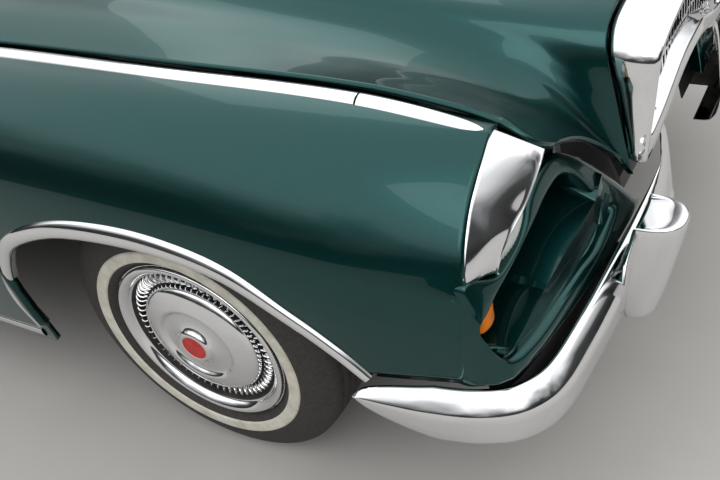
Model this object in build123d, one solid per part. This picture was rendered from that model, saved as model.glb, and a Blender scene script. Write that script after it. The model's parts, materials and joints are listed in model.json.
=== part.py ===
"""A 1950s two-door hardtop car: body panels, glass, cabin, running gear and trim, as separate pieces.

X runs to the car's left, -Y forwards and Z up from the ground. The origin is on the ground under the car's middle.
"""

from build123d import *
import math
import os

# Driving dimensions of the whole car, in millimetres
LENGTH = 5180
WHEELBASE = 3061
FRONT_OVERHANG = 920
FRONT_AXLE_Y = -LENGTH / 2 + FRONT_OVERHANG
REAR_AXLE_Y = FRONT_AXLE_Y + WHEELBASE
HALF_TRACK = 722
TYRE_R = 335
TYRE_WIDTH = 190
RIM_R = 206
KINGPIN_X = 640
SPINDLE_R = 22
DRUM_R = 140
DRUM_DEEP = 50

# Panel gaps and thicknesses
GAP = 8
SKIN = 14
DOOR_THICK = 75
DOOR_HINGE_X = 902
DOOR_SHUT_SLOPE = 0.035  # the door's rear face slants forwards by this much a millimetre inwards
ROOF_THICK = 34

# Places where the side panels meet, along Y
WING_FRONT_Y = -2322
DOOR_FRONT_Y = -760
DOOR_REAR_Y = 400
TAIL_Y = 2470
DOOR_BOTTOM_Z = 292
HOOD_REAR_Y = -905
HOOD_FRONT_Y = -2386
BOOT_FRONT_Y = 1330
BOOT_REAR_Y = 2425
BOOT_HALF = 540

# Body side, one row a station. Columns: y, crest x, crest z, widest x, widest z, lowest x, lowest z
BODY_SIDE = [
    (-2322, 628, 848, 842, 575, 845, 485),
    (-2080, 640, 886, 882, 600, 880, 470),
    (-1670, 665, 906, 893, 610, 884, 420),
    (-1250, 676, 915, 897, 620, 868, 262),
    (-760, 704, 924, 900, 630, 862, 258),
    (400, 726, 938, 898, 640, 860, 258),
    (900, 722, 942, 893, 650, 858, 262),
    (1391, 712, 941, 888, 650, 855, 300),
    (1900, 690, 926, 868, 640, 838, 345),
    (2470, 640, 884, 812, 620, 790, 420),
]

# Hood, one row a station. Columns: y, crown z, nose half-width, valley x, valley z
HOOD = [
    (-2388, 866, 300, 425, 705),
    (-2320, 880, 306, 440, 765),
    (-2200, 902, 320, 460, 822),
    (-2000, 930, 345, 485, 872),
    (-1670, 957, 380, 520, 915),
    (-1250, 976, 400, 540, 939),
    (-905, 986, 410, 560, 948),
    (-600, 992, 420, 570, 954),
]
HOOD_EDGE_IN = 40  # the hood's edge lies this far inside the wing's crest
HOOD_EDGE_DROP = 6

# Wheel arches, as (y from the axle, z) points of arcs, rear foot first
FRONT_ARCH = [(402, 330), (417, 420), (390, 510), (330, 590), (200, 648), (50, 668), (-110, 665), (-240, 640), (-350, 575), (-420, 520), (-474, 462)]
REAR_ARCH = [(400, 330), (405, 420), (375, 500), (300, 575), (170, 622), (0, 636), (-170, 622), (-300, 575), (-375, 500), (-405, 420), (-400, 330)]


def at(rows, y, column):
    """The value of a column at y, on a smooth curve through the table's rows."""
    ys = [r[0] for r in rows]
    i = max(0, min(len(rows) - 2, sum(1 for v in ys if v <= y) - 1))

    def slope(k):
        a, b = max(0, k - 1), min(len(rows) - 1, k + 1)
        return (rows[b][column] - rows[a][column]) / (ys[b] - ys[a])

    span = ys[i + 1] - ys[i]
    t = (y - ys[i]) / span
    return (
        (2 * t**3 - 3 * t**2 + 1) * rows[i][column]
        + (t**3 - 2 * t**2 + t) * span * slope(i)
        + (3 * t**2 - 2 * t**3) * rows[i + 1][column]
        + (t**3 - t**2) * span * slope(i + 1)
    )


def arcs(points):
    """Edges through an odd number of points: each three are one arc, or a line where they are straight."""
    edges = []
    for a, m, b in zip(points[0:-2:2], points[1:-1:2], points[2::2]):
        cross = (m - a).cross(b - m)
        if cross.length < 1e-3 * (b - a).length:
            edges.append(Edge.make_line(a, b))
        else:
            edges.append(Edge.make_three_point_arc(a, m, b))
    return edges


def offset(points, distance):
    """Points moved to the right of their direction of travel, in the (x, z) plane."""
    moved = []
    for i in range(len(points)):
        a = points[max(0, i - 1)]
        b = points[min(len(points) - 1, i + 1)]
        dx, dz = b[0] - a[0], b[1] - a[1]
        size = math.hypot(dx, dz)
        moved.append((points[i][0] + distance * dz / size, points[i][1] - distance * dx / size))
    return moved


def band(y, outer, inner):
    """A closed wire at y between an outer and an inner row of (x, z) points."""
    out = [Vector(x, y, z) for x, z in outer]
    back = [Vector(x, y, z) for x, z in reversed(inner)]
    edges = arcs(out) + [Edge.make_line(out[-1], back[0])] + arcs(back) + [Edge.make_line(back[-1], out[0])]
    return Wire(edges)


def side_points(y, bottom=None, flange=34):
    """The body side's outline at y: inner flange, crest, widest line and lowest edge."""
    xc, zc, xm, zm, xs, zs = (at(BODY_SIDE, y, c) for c in range(1, 7))
    points = [(xc - flange, zc - 6), (xc - flange / 2, zc - 1.6), (xc, zc)]
    for step in (1, 2, 3, 4):
        a = math.pi / 2 * step / 4
        points.append((xc + (xm - xc) * math.sin(a), zm + (zc - zm) * math.cos(a)))
    low = zs if bottom is None else bottom
    reach = (zm - low) / (zm - zs)
    points.append((xm - (xm - xs) * (reach / 2) ** 2, (zm + low) / 2))
    points.append((xm - (xm - xs) * reach**2, low))
    return points


def side_panel(stations, thick, bottom=None, flange=34):
    """A body side panel on the car's left, lofted through stations."""
    wires = []
    for y in stations:
        outer = side_points(y, bottom, flange)
        wires.append(band(y, outer, offset(outer, thick)))
    return Solid.make_loft(wires)


def arch_cutter(points, axle_y, grow=0):
    """A block along X with the wheel arch's outline, on the car's left."""
    centre_z = 330
    grown = []
    for y, z in points:
        size = math.hypot(y, z - centre_z)
        grown.append(Vector(600, axle_y + y * (1 + grow / size), z + (z - centre_z) * grow / size))
    foot = [Vector(600, grown[-1].Y, 60), Vector(600, grown[0].Y, 60)]
    edges = arcs(grown) + [Edge.make_line(grown[-1], foot[0]), Edge.make_line(foot[0], foot[1]), Edge.make_line(foot[1], grown[0])]
    return extrude(Face(Wire(edges)), 500, dir=(1, 0, 0))


def side_fill(stations, grow, bottom=None):
    """All that lies inboard of the body side, grown outwards, as a cutter for pieces that lie on it."""
    wires = []
    for y in stations:
        outer = offset(side_points(y, bottom), -grow)
        top, low = outer[0][1], outer[-1][1]
        inner = [(500, top + (low - top) * k / 8) for k in range(9)]
        wires.append(band(y, outer, inner))
    return Solid.make_loft(wires)


def mirrored(shape):
    return mirror(shape, about=Plane.YZ)


def block(x0, x1, y0, y1, z0, z1):
    """A box from its limits."""
    return Pos((x0 + x1) / 2, (y0 + y1) / 2, (z0 + z1) / 2) * Box(x1 - x0, y1 - y0, z1 - z0)


def save(name, shape):
    """Writes one piece of the car."""
    if isinstance(shape, (list, tuple)):
        shape = Compound(children=[s for s in shape])
    export_step(shape, f"parts/{name}.step")


def front_wing():
    panel = side_panel([WING_FRONT_Y, -2080, -1860, -1670, -1450, -1250, -1000, DOOR_FRONT_Y - GAP], SKIN)
    return panel - arch_cutter(FRONT_ARCH, FRONT_AXLE_Y)


def rear_quarter():
    panel = side_panel([DOOR_REAR_Y + GAP, 900, 1150, 1391, 1650, 1900, 2200, TAIL_Y], SKIN)
    return panel - arch_cutter(REAR_ARCH, REAR_AXLE_Y)


def door():
    """A thick door: curved skin outside, flat card inside."""
    wires = []
    for y in (DOOR_FRONT_Y, -380, 0, DOOR_REAR_Y):
        outer = side_points(y, DOOR_BOTTOM_Z, 10)
        inner_x = outer[-1][0] - DOOR_THICK
        z_top = outer[0][1] - 2
        top_in = outer[0][0] - 26
        inner = [(top_in + (inner_x - top_in) * k / 8, z_top + (DOOR_BOTTOM_Z - z_top) * k / 8) for k in range(9)]
        wires.append(band(y, outer, inner))
    shut = Plane(origin=(DOOR_HINGE_X, DOOR_REAR_Y, 600), x_dir=(0, 0, 1), z_dir=(DOOR_SHUT_SLOPE, -1, 0))
    behind = extrude(shut * Rectangle(1200, 1200), -60)
    return Solid.make_loft(wires) - behind


def hood_points(y):
    """The hood's outline at y from its middle to its edge."""
    zh, nose, xv, zv = (at(HOOD, y, c) for c in range(1, 5))
    xe = at(BODY_SIDE, y, 1) - HOOD_EDGE_IN
    ze = at(BODY_SIDE, y, 2) - HOOD_EDGE_DROP
    drop = zh - zv
    return [
        (0, zh),
        (0.45 * nose, zh - 0.02 * drop - 2),
        (0.82 * nose, zh - 0.07 * drop - 5),
        (nose, zh - 0.24 * drop),
        (nose + 0.22 * (xv - nose), zh - 0.55 * drop),
        (nose + 0.55 * (xv - nose), zh - 0.88 * drop),
        (xv, zv),
        ((xv + xe) / 2, zv + 0.4 * (ze - zv)),
        (xe, ze),
    ]


def hood_slab(stations, thick):
    """The hood's or the cowl's skin, lofted through stations."""
    wires = []
    for y in stations:
        right = hood_points(y)
        outer = [(-x, z) for x, z in reversed(right)] + right[1:]
        wires.append(band(y, outer, offset(outer, thick)))
    return Solid.make_loft(wires)


def hood():
    return hood_slab([HOOD_FRONT_Y, -2320, -2200, -2000, -1670, -1250, HOOD_REAR_Y], SKIN)


def deck_points(y):
    """The rear deck's outline across the car at y."""
    xe = at(BODY_SIDE, y, 1) - 34 - 5
    ze = at(BODY_SIDE, y, 2) - 6
    return [(-xe, ze), (-xe / 2, ze + 22), (0, ze + 30), (xe / 2, ze + 22), (xe, ze)]


def deck_slab():
    wires = []
    for y in (1120, 1391, 1900, TAIL_Y):
        outer = deck_points(y)
        wires.append(band(y, outer, offset(outer, SKIN)))
    return Solid.make_loft(wires)


# Greenhouse outline at a height. Columns: z, front y, rear y, half-width, corner radius
GREENHOUSE = [
    (905, -812, 1215, 716, 90),
    (1120, -590, 1090, 668, 95),
    (1310, -330, 900, 600, 110),
    (1368, -150, 730, 500, 150),
    (1390, 60, 480, 300, 140),
]


def greenhouse_wire(z, y0, y1, half, r):
    """A rounded outline with bowed front and rear, at z."""
    bow_front, bow_rear, bow_side = 0.16 * half, 0.07 * half, 0.02 * half
    fr = [(-half + r, y0 + bow_front), (0, y0), (half - r, y0 + bow_front)]
    k = r * (1 - math.sqrt(0.5))
    corner_fr = [(half - k, y0 + bow_front + k), (half, y0 + bow_front + r)]
    side_r = [(half + bow_side, (y0 + y1) / 2), (half, y1 - bow_rear - r)]
    corner_rr = [(half - k, y1 - bow_rear - k), (half - r, y1 - bow_rear)]
    rear = [(0, y1), (-half + r, y1 - bow_rear)]
    corner_rl = [(-half + k, y1 - bow_rear - k), (-half, y1 - bow_rear - r)]
    side_l = [(-half - bow_side, (y0 + y1) / 2), (-half, y0 + bow_front + r)]
    corner_fl = [(-half + k, y0 + bow_front + k), fr[0]]
    points = fr + corner_fr + side_r + corner_rr + rear + corner_rl + side_l + corner_fl
    return Wire(arcs([Vector(x, y, z) for x, y in points]))


def greenhouse(inset):
    """The closed form of roof and glass, shrunk by inset on every side but below."""
    wires = []
    for z, y0, y1, half, r in GREENHOUSE:
        zi = z if z == GREENHOUSE[0][0] else z - inset
        wires.append(greenhouse_wire(zi, y0 + inset * 1.2, y1 - inset * 1.1, half - inset, r))
    return Solid.make_loft(wires)


BELT_Z = 958
SIDE_GLASS_TOP = 1292
DOOR_TOP_CUT_Z = 880
# Front edge of the door's window opening, as (y, z) low and high
PILLAR_LOW = (-690, 880)
PILLAR_HIGH = (-235, 1292)
QUARTER_LOW_Y = 800
QUARTER_TOP_Y = 650
GLASS_INSET = 12
GLASS_THICK = 6


def screen_prism(low, top, half_low, half_top, y):
    """A block through the windscreen or rear window opening, along Y."""
    points = [(-half_low, low), (half_low, low), (half_top, top), (-half_top, top)]
    face = Face(Wire.make_polygon([Vector(px, y, pz) for px, pz in points], close=True))
    return extrude(face, 620, dir=(0, 1, 0))


def side_prism(corners):
    """A block along X through (y, z) corners, on the left."""
    face = Face(Wire.make_polygon([Vector(350, y, z) for y, z in corners], close=True))
    return extrude(face, 500, dir=(1, 0, 0))


def pillar_y(z, gap):
    """The windscreen pillar's rear edge at a height, moved back by gap."""
    share = (z - PILLAR_LOW[1]) / (PILLAR_HIGH[1] - PILLAR_LOW[1])
    return PILLAR_LOW[0] + share * (PILLAR_HIGH[0] - PILLAR_LOW[0]) + gap


def door_window(low, top, gap, rear):
    """The door window's outline as a block, set back from its opening by gap."""
    return side_prism([(pillar_y(low, gap), low), (rear, low), (rear, top), (pillar_y(top, gap), top)])


def quarter_window(front):
    """The quarter window's outline as a block."""
    return side_prism([(front, BELT_Z), (QUARTER_LOW_Y, BELT_Z), (QUARTER_TOP_Y, SIDE_GLASS_TOP), (front, SIDE_GLASS_TOP)])


def tyre():
    """A round-shouldered tyre about the X axis, on the left, at the half track."""
    w = TYRE_WIDTH / 2
    with BuildSketch(Plane.XZ) as s:
        with BuildLine():
            l1 = Line((-0.62 * w, RIM_R - 10), (-0.78 * w, RIM_R + 4))
            l2 = ThreePointArc(l1 @ 1, (-w, (RIM_R + TYRE_R) / 2), (-0.82 * w, TYRE_R - 12))
            l3 = ThreePointArc(l2 @ 1, (-0.72 * w, TYRE_R - 4), (-0.6 * w, TYRE_R - 2))
            l4 = ThreePointArc(l3 @ 1, (0, TYRE_R), (0.6 * w, TYRE_R - 2))
            l5 = ThreePointArc(l4 @ 1, (0.72 * w, TYRE_R - 4), (0.82 * w, TYRE_R - 12))
            l6 = ThreePointArc(l5 @ 1, (w, (RIM_R + TYRE_R) / 2), (0.78 * w, RIM_R + 4))
            l7 = Line(l6 @ 1, (0.62 * w, RIM_R - 10))
            Line(l7 @ 1, l1 @ 0)
        make_face()
    return s.sketch


def wheel_solid(sketch, y, side):
    body = revolve(sketch, axis=Axis.X)
    shape = Pos(HALF_TRACK, y, TYRE_R) * body
    return shape if side > 0 else mirrored(shape)


def rim_sketch():
    """Half section of drum, steel wheel and domed cover, as (x, r) with x outwards."""
    with BuildSketch(Plane.XZ) as s:
        with BuildLine():
            Polyline([
                (-DRUM_DEEP, SPINDLE_R + 0.3), (-DRUM_DEEP, DRUM_R), (-2, DRUM_R), (-2, 178), (-66, 178), (-66, RIM_R - 11),
                (66, RIM_R - 11), (72, RIM_R - 4), (80, RIM_R - 8), (78, 186), (66, 168), (62, 150), (74, 130), (92, 112),
                (98, 84), (92, 60), (104, 44), (108, 30), (112, 0), (40, 0), (40, SPINDLE_R + 0.3), (-DRUM_DEEP, SPINDLE_R + 0.3),
            ])
        make_face()
    return s.sketch


def boot_prism(gap):
    """A block through the boot opening, grown by gap on every side."""
    return block(-BOOT_HALF - gap, BOOT_HALF + gap, BOOT_FRONT_Y - gap, BOOT_REAR_Y + gap, 700, 1100)


# The painted face under the lamps, in plan, as (x, y) from the wing to the middle
FACE_PLAN = [(840, -2331), (828, -2372), (788, -2402), (720, -2420), (560, -2428), (420, -2432), (340, -2436), (170, -2438), (0, -2440)]
FACE_LOW_Z = 486
FACE_TOP_Z = 680
FACE_THICK = 30
# The air opening each side of the grille, as (x, z)
SIDE_OPENING = [(520, 650), (800, 645), (822, 600), (800, 505), (370, 505)]

LAMP_X = 665
LAMP_Z = 700
LAMP_R = 89
LAMP_Y = -2358
BEZEL_R = 110
BEZEL_DEEP = 64


def both_sides(half):
    """A row of (x, y) points from the left end to the middle, carried on to the right end."""
    row = half[:-1] + [(0, half[-1][1])]
    return row + [(-x, y) for x, y in reversed(half[:-1])]


def ring_wire(outer, inner, z):
    """A closed wire in plan between an outer and an inner row of (x, y) points."""
    out = [Vector(x, y, z) for x, y in outer]
    rear = [Vector(x, y, z) for x, y in reversed(inner)]
    edges = arcs(out) + [Edge.make_line(out[-1], rear[0])] + arcs(rear) + [Edge.make_line(rear[-1], out[0])]
    return Wire(edges)


def front_pan():
    """The painted face under the lamps, with an air opening each side of the grille."""
    face = Face(ring_wire(both_sides(FACE_PLAN), both_sides(offset(FACE_PLAN, FACE_THICK)), FACE_LOW_Z))
    pan = extrude(face, FACE_TOP_Z - FACE_LOW_Z, dir=(0, 0, 1))
    opening = Face(Wire.make_polygon([Vector(x, -2500, z) for x, z in SIDE_OPENING], close=True))
    opening = extrude(opening, 200, dir=(0, 1, 0))
    nacelle = Pos(LAMP_X, LAMP_Y, LAMP_Z) * Rot(90, 0, 0) * Cylinder(BEZEL_R + 1, 200)
    pan = pan - opening - mirrored(opening) - nacelle - mirrored(nacelle)
    return pan - block(-308, 308, -2500, -2300, 570, 800)


# Grille shell outline at its rear and front: y, top half-width, low half-width, top z, low z
SHELL_REAR = (-2398, 296, 304, 806, 580)
SHELL_FRONT = (-2490, 290, 300, 800, 582)
SHELL_WALL = 30
SHELL_CROWN = 54


def shell_wire(row, inset):
    y, top, low, z_top, z_low = row
    top, low, z_top, z_low = top - inset, low - inset, z_top - inset, z_low + inset
    points = [(-low, z_low), (0, z_low - 1), (low, z_low), ((low + top) / 2 + 3, (z_low + z_top) / 2), (top, z_top),
              (top - 8, z_top + 22), (top - 40, z_top + 0.55 * SHELL_CROWN), (0, z_top + SHELL_CROWN),
              (-top + 40, z_top + 0.55 * SHELL_CROWN), (-top + 8, z_top + 22), (-top, z_top), (-(low + top) / 2 - 3, (z_low + z_top) / 2), (-low, z_low)]
    return Wire(arcs([Vector(x, y, z) for x, z in points]))


def shell_cavity():
    """What the grille shell is hollowed by."""
    rear = (SHELL_REAR[0] + 20, *SHELL_REAR[1:])
    front = (SHELL_FRONT[0] - 20, *SHELL_FRONT[1:])
    return Solid.make_loft([shell_wire(rear, SHELL_WALL), shell_wire(front, SHELL_WALL)])


def grille_shell():
    return Solid.make_loft([shell_wire(SHELL_REAR, 0), shell_wire(SHELL_FRONT, 0)]) - shell_cavity()


def grille_insert():
    """Upright bars tied by three cross bars inside the shell."""
    grid = block(-280, 280, -2446, -2434, 636, 644)
    for z in (700, 760):
        grid = grid + block(-280, 280, -2446, -2434, z - 4, z + 4)
    for k in range(-12, 13):
        grid = grid + block(k * 20 - 3, k * 20 + 3, -2450, -2430, 560, 860)
    return grid & shell_cavity()


# Front bumper in plan, as (x, y) points of arcs, from its rear tip to the middle
BUMPER_PLAN = [(897, -2165), (908, -2240), (893, -2300), (865, -2392), (822, -2443), (775, -2468), (713, -2478), (583, -2488), (419, -2493), (210, -2498), (0, -2500)]
# Its section: z, inset of the outer face
BUMPER_LEVELS = [(352, 24), (392, 4), (436, 0), (466, 7), (484, 22)]
BUMPER_WALL = 26
GUARD_X = 445


def bumper(plan, levels, wall):
    """A bumper bar lofted upwards through levels of (z, inset)."""
    wires = []
    for z, inset in levels:
        wires.append(ring_wire(both_sides(offset(plan, inset)), both_sides(offset(plan, inset + wall)), z))
    return Solid.make_loft(wires)


def guard(x):
    """An upright guard that leans forwards at its top."""
    rows = [(352, -2535, 52), (430, -2560, 54), (520, -2585, 54), (585, -2590, 46)]
    wires = []
    for z, y, half in rows:
        wires.append(Wire.make_polygon([Vector(x - half, -2488, z), Vector(x - half, y + 12, z), Vector(x - half + 14, y, z),
                                        Vector(x + half - 14, y, z), Vector(x + half, y + 12, z), Vector(x + half, -2488, z)], close=True))
    return Solid.make_loft(wires)


REAR_BUMPER_PLAN = [(872, 2190), (874, 2280), (862, 2370), (838, 2450), (790, 2505), (720, 2540), (620, 2560), (480, 2574), (330, 2582), (160, 2588), (0, 2590)]


def rear_bumper():
    plan = [(x, -y) for x, y in REAR_BUMPER_PLAN]
    shape = bumper(plan, [(z + 34, inset) for z, inset in BUMPER_LEVELS], BUMPER_WALL)
    return mirror(shape, about=Plane.XZ)


# Frame rails from front to rear, as (y, z) of their middle
RAIL_PATH = [(-2490, 385), (-1350, 385), (-1080, 230), (960, 230), (1160, 468), (1640, 468), (1850, 395), (2560, 395)]
RAIL_HALF = 32
RAIL_X0, RAIL_X1 = 348, 410
# Cross members, as (y, z low, z high)
CROSS_MEMBERS = [(-2330, 360, 410), (-600, 210, 260), (300, 210, 260), (2330, 370, 420)]


TOW_HOLE_X = 100  # two holes in the rear cross member take a tow bracket's bolts
TOW_HOLE_R = 6.75


def frame_rail():
    """The left side rail, which kicks up at both axles."""
    rail = [Vector(RAIL_X0, y, z + RAIL_HALF) for y, z in RAIL_PATH]
    rail += [Vector(RAIL_X0, y, z - RAIL_HALF) for y, z in reversed(RAIL_PATH)]
    return extrude(Face(Wire.make_polygon(rail, close=True)), RAIL_X1 - RAIL_X0, dir=(1, 0, 0))


def cross_members():
    """The frame's cross members, front to rear, the last one drilled for a tow bracket."""
    members = [block(-RAIL_X0, RAIL_X0, y - 35, y + 35, z0, z1) for y, z0, z1 in CROSS_MEMBERS]
    rear_y, z0, z1 = CROSS_MEMBERS[-1]
    for s in (-1, 1):
        members[-1] = members[-1] - Pos(s * TOW_HOLE_X, rear_y, (z0 + z1) / 2) * Cylinder(TOW_HOLE_R, z1 - z0 + 2)
    return members


FLOOR_Z = 270
FLOOR_THICK = 14
TUNNEL_HALF = 132
TUNNEL_TOP_Z = 420
FIREWALL_Y = -866
REAR_STEP_Y = 866
BOOT_FLOOR_Z = 546
BOOT_WALL_X = 560
BOOT_END_Y = 2430
FIREWALL_TOP_Z = 895
SILL_X = 776
SHELF_Z = 848


def underbody():
    """Plates of the floor and its tunnel, bulkhead, rear step, boot floor and walls, shelf, sills and inner wings."""
    t = FLOOR_THICK
    rear = REAR_STEP_Y + t
    top = TUNNEL_TOP_Z
    plates = [
        block(-TUNNEL_HALF, TUNNEL_HALF, FIREWALL_Y, rear, top - t, top),
        block(-TUNNEL_HALF, TUNNEL_HALF, FIREWALL_Y - 22, FIREWALL_Y, top - t, FIREWALL_TOP_Z),
        block(-TUNNEL_HALF, TUNNEL_HALF, REAR_STEP_Y, rear, top, BOOT_FLOOR_Z),
        block(-BOOT_WALL_X, BOOT_WALL_X, REAR_STEP_Y, BOOT_END_Y, BOOT_FLOOR_Z, BOOT_FLOOR_Z + t),
        block(-BOOT_WALL_X + t, BOOT_WALL_X - t, 1010, 1250, SHELF_Z, SHELF_Z + t),
    ]
    for s in (-1, 1):
        plates += [
            side_block(s, TUNNEL_HALF, SILL_X, FIREWALL_Y, rear, FLOOR_Z, FLOOR_Z + t),
            side_block(s, TUNNEL_HALF - t, TUNNEL_HALF, FIREWALL_Y, rear, FLOOR_Z, top - t),
            side_block(s, TUNNEL_HALF, 640, FIREWALL_Y - 22, FIREWALL_Y, FLOOR_Z, FIREWALL_TOP_Z),
            side_block(s, TUNNEL_HALF, BOOT_WALL_X, REAR_STEP_Y, rear, FLOOR_Z + t, BOOT_FLOOR_Z),
            side_block(s, SILL_X, 856, -760, 400, 258, FLOOR_Z + t),
            side_block(s, 432, 444, -2240, FIREWALL_Y - 22, 470, 740),
            side_block(s, BOOT_WALL_X - t, BOOT_WALL_X, REAR_STEP_Y, BOOT_END_Y, BOOT_FLOOR_Z + t, SHELF_Z + t),
        ]
    return plates


def side_block(s, x0, x1, y0, y1, z0, z1):
    """A box on the left (s = 1) or the right (s = -1)."""
    low, high = sorted((s * x0, s * x1))
    return block(low, high, y0, y1, z0, z1)


def front_suspension():
    """Cross member with towers, and an upper and a lower arm on each side."""
    y = FRONT_AXLE_Y
    shape = block(-430, 430, y - 60, y + 60, 262, 353)
    for s in (-1, 1):
        shape = shape + side_block(s, 411, 432, y - 50, y + 50, 262, 462)
        shape = shape + side_block(s, 380, KINGPIN_X, y - 28, y + 28, 262, 280)
        shape = shape + side_block(s, 411, KINGPIN_X, y - 20, y + 20, 447, 462)
        shape = shape + Pos(s * KINGPIN_X, y, 271) * Cylinder(28, 18)
        shape = shape + Pos(s * KINGPIN_X, y, 454.5) * Cylinder(26, 15)
    return shape


def knuckle():
    """Upright with its spindle and steering arm, on the left."""
    y = FRONT_AXLE_Y
    shape = Pos(KINGPIN_X, y, 363.5) * Cylinder(16, 165)
    shape = shape + Pos(KINGPIN_X + 50, y, TYRE_R) * Rot(0, 90, 0) * Cylinder(SPINDLE_R, 100)
    return shape + block(KINGPIN_X - 12, KINGPIN_X + 12, y, y + 120, 300, 318)


def driveline():
    """Gearbox, propeller shaft, differential and rear axle with its leaf springs."""
    shape = block(-92, 92, -1160, -640, 262, 396)
    shape = shape + Pos(0, 310, 318) * Rot(90, 0, 0) * Cylinder(32, 1950)
    shape = shape + Pos(0, REAR_AXLE_Y, TYRE_R) * Sphere(135)
    shape = shape + Pos(0, REAR_AXLE_Y, TYRE_R) * Rot(0, 90, 0) * Cylinder(38, 1240)
    shape = shape + Pos(0, REAR_AXLE_Y, TYRE_R) * Rot(0, 90, 0) * Cylinder(SPINDLE_R, 1400)
    for s in (-1, 1):
        shape = shape + side_block(s, 455, 515, REAR_AXLE_Y - 490, REAR_AXLE_Y + 600, 268, 302)
    return shape


EXHAUST_X = -264
EXHAUST_Z = 186
EXHAUST_R = 24


def exhaust():
    """Pipe with a silencer, from the engine's side to the tail, and its rear hanger."""
    pipe = Pos(EXHAUST_X, 625, EXHAUST_Z) * Rot(90, 0, 0) * Cylinder(EXHAUST_R, 3650)
    silencer = Pos(EXHAUST_X, 690, EXHAUST_Z) * Rot(90, 0, 0) * Cylinder(56, 560)
    down = Pos(EXHAUST_X, -1200, 293) * Cylinder(EXHAUST_R, 214)
    return pipe + silencer + down + block(EXHAUST_X - 4, EXHAUST_X + 4, 2320, 2340, EXHAUST_Z, 370)


def cushion(x, y0, y1, z0, z1):
    """A soft block with rounded edges across the car."""
    return fillet(block(-x, x, y0, y1, z0, z1).edges(), 25)


COLUMN_TILT = 65  # of the steering column from upright
WHEEL_HUB = (360, -330, 800)


def along_column(shape):
    """A shape about Z moved onto the steering column, its origin at the hub."""
    return Pos(*WHEEL_HUB) * Rot(-COLUMN_TILT, 0, 0) * shape


def steering_wheel():
    """Rim, hub, spokes and the upper shaft."""
    return along_column(Torus(200, 12) + Cylinder(34, 30) + Box(390, 26, 10) + Pos(0, 0, -60) * Cylinder(10, 100))


def dashboard():
    """Dash panel and its top shelf, with the tube that carries the steering shaft."""
    tube = along_column(Pos(0, 0, -320) * Cylinder(26, 600) - Pos(0, 0, -80) * Cylinder(16, 130))
    panel = block(-640, 640, -720, -580, 700, 895) + block(-640, 640, FIREWALL_Y, -700, 850, 895)
    return panel + (tube - block(-700, 700, -2000, FIREWALL_Y, 0, 2000))


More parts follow.
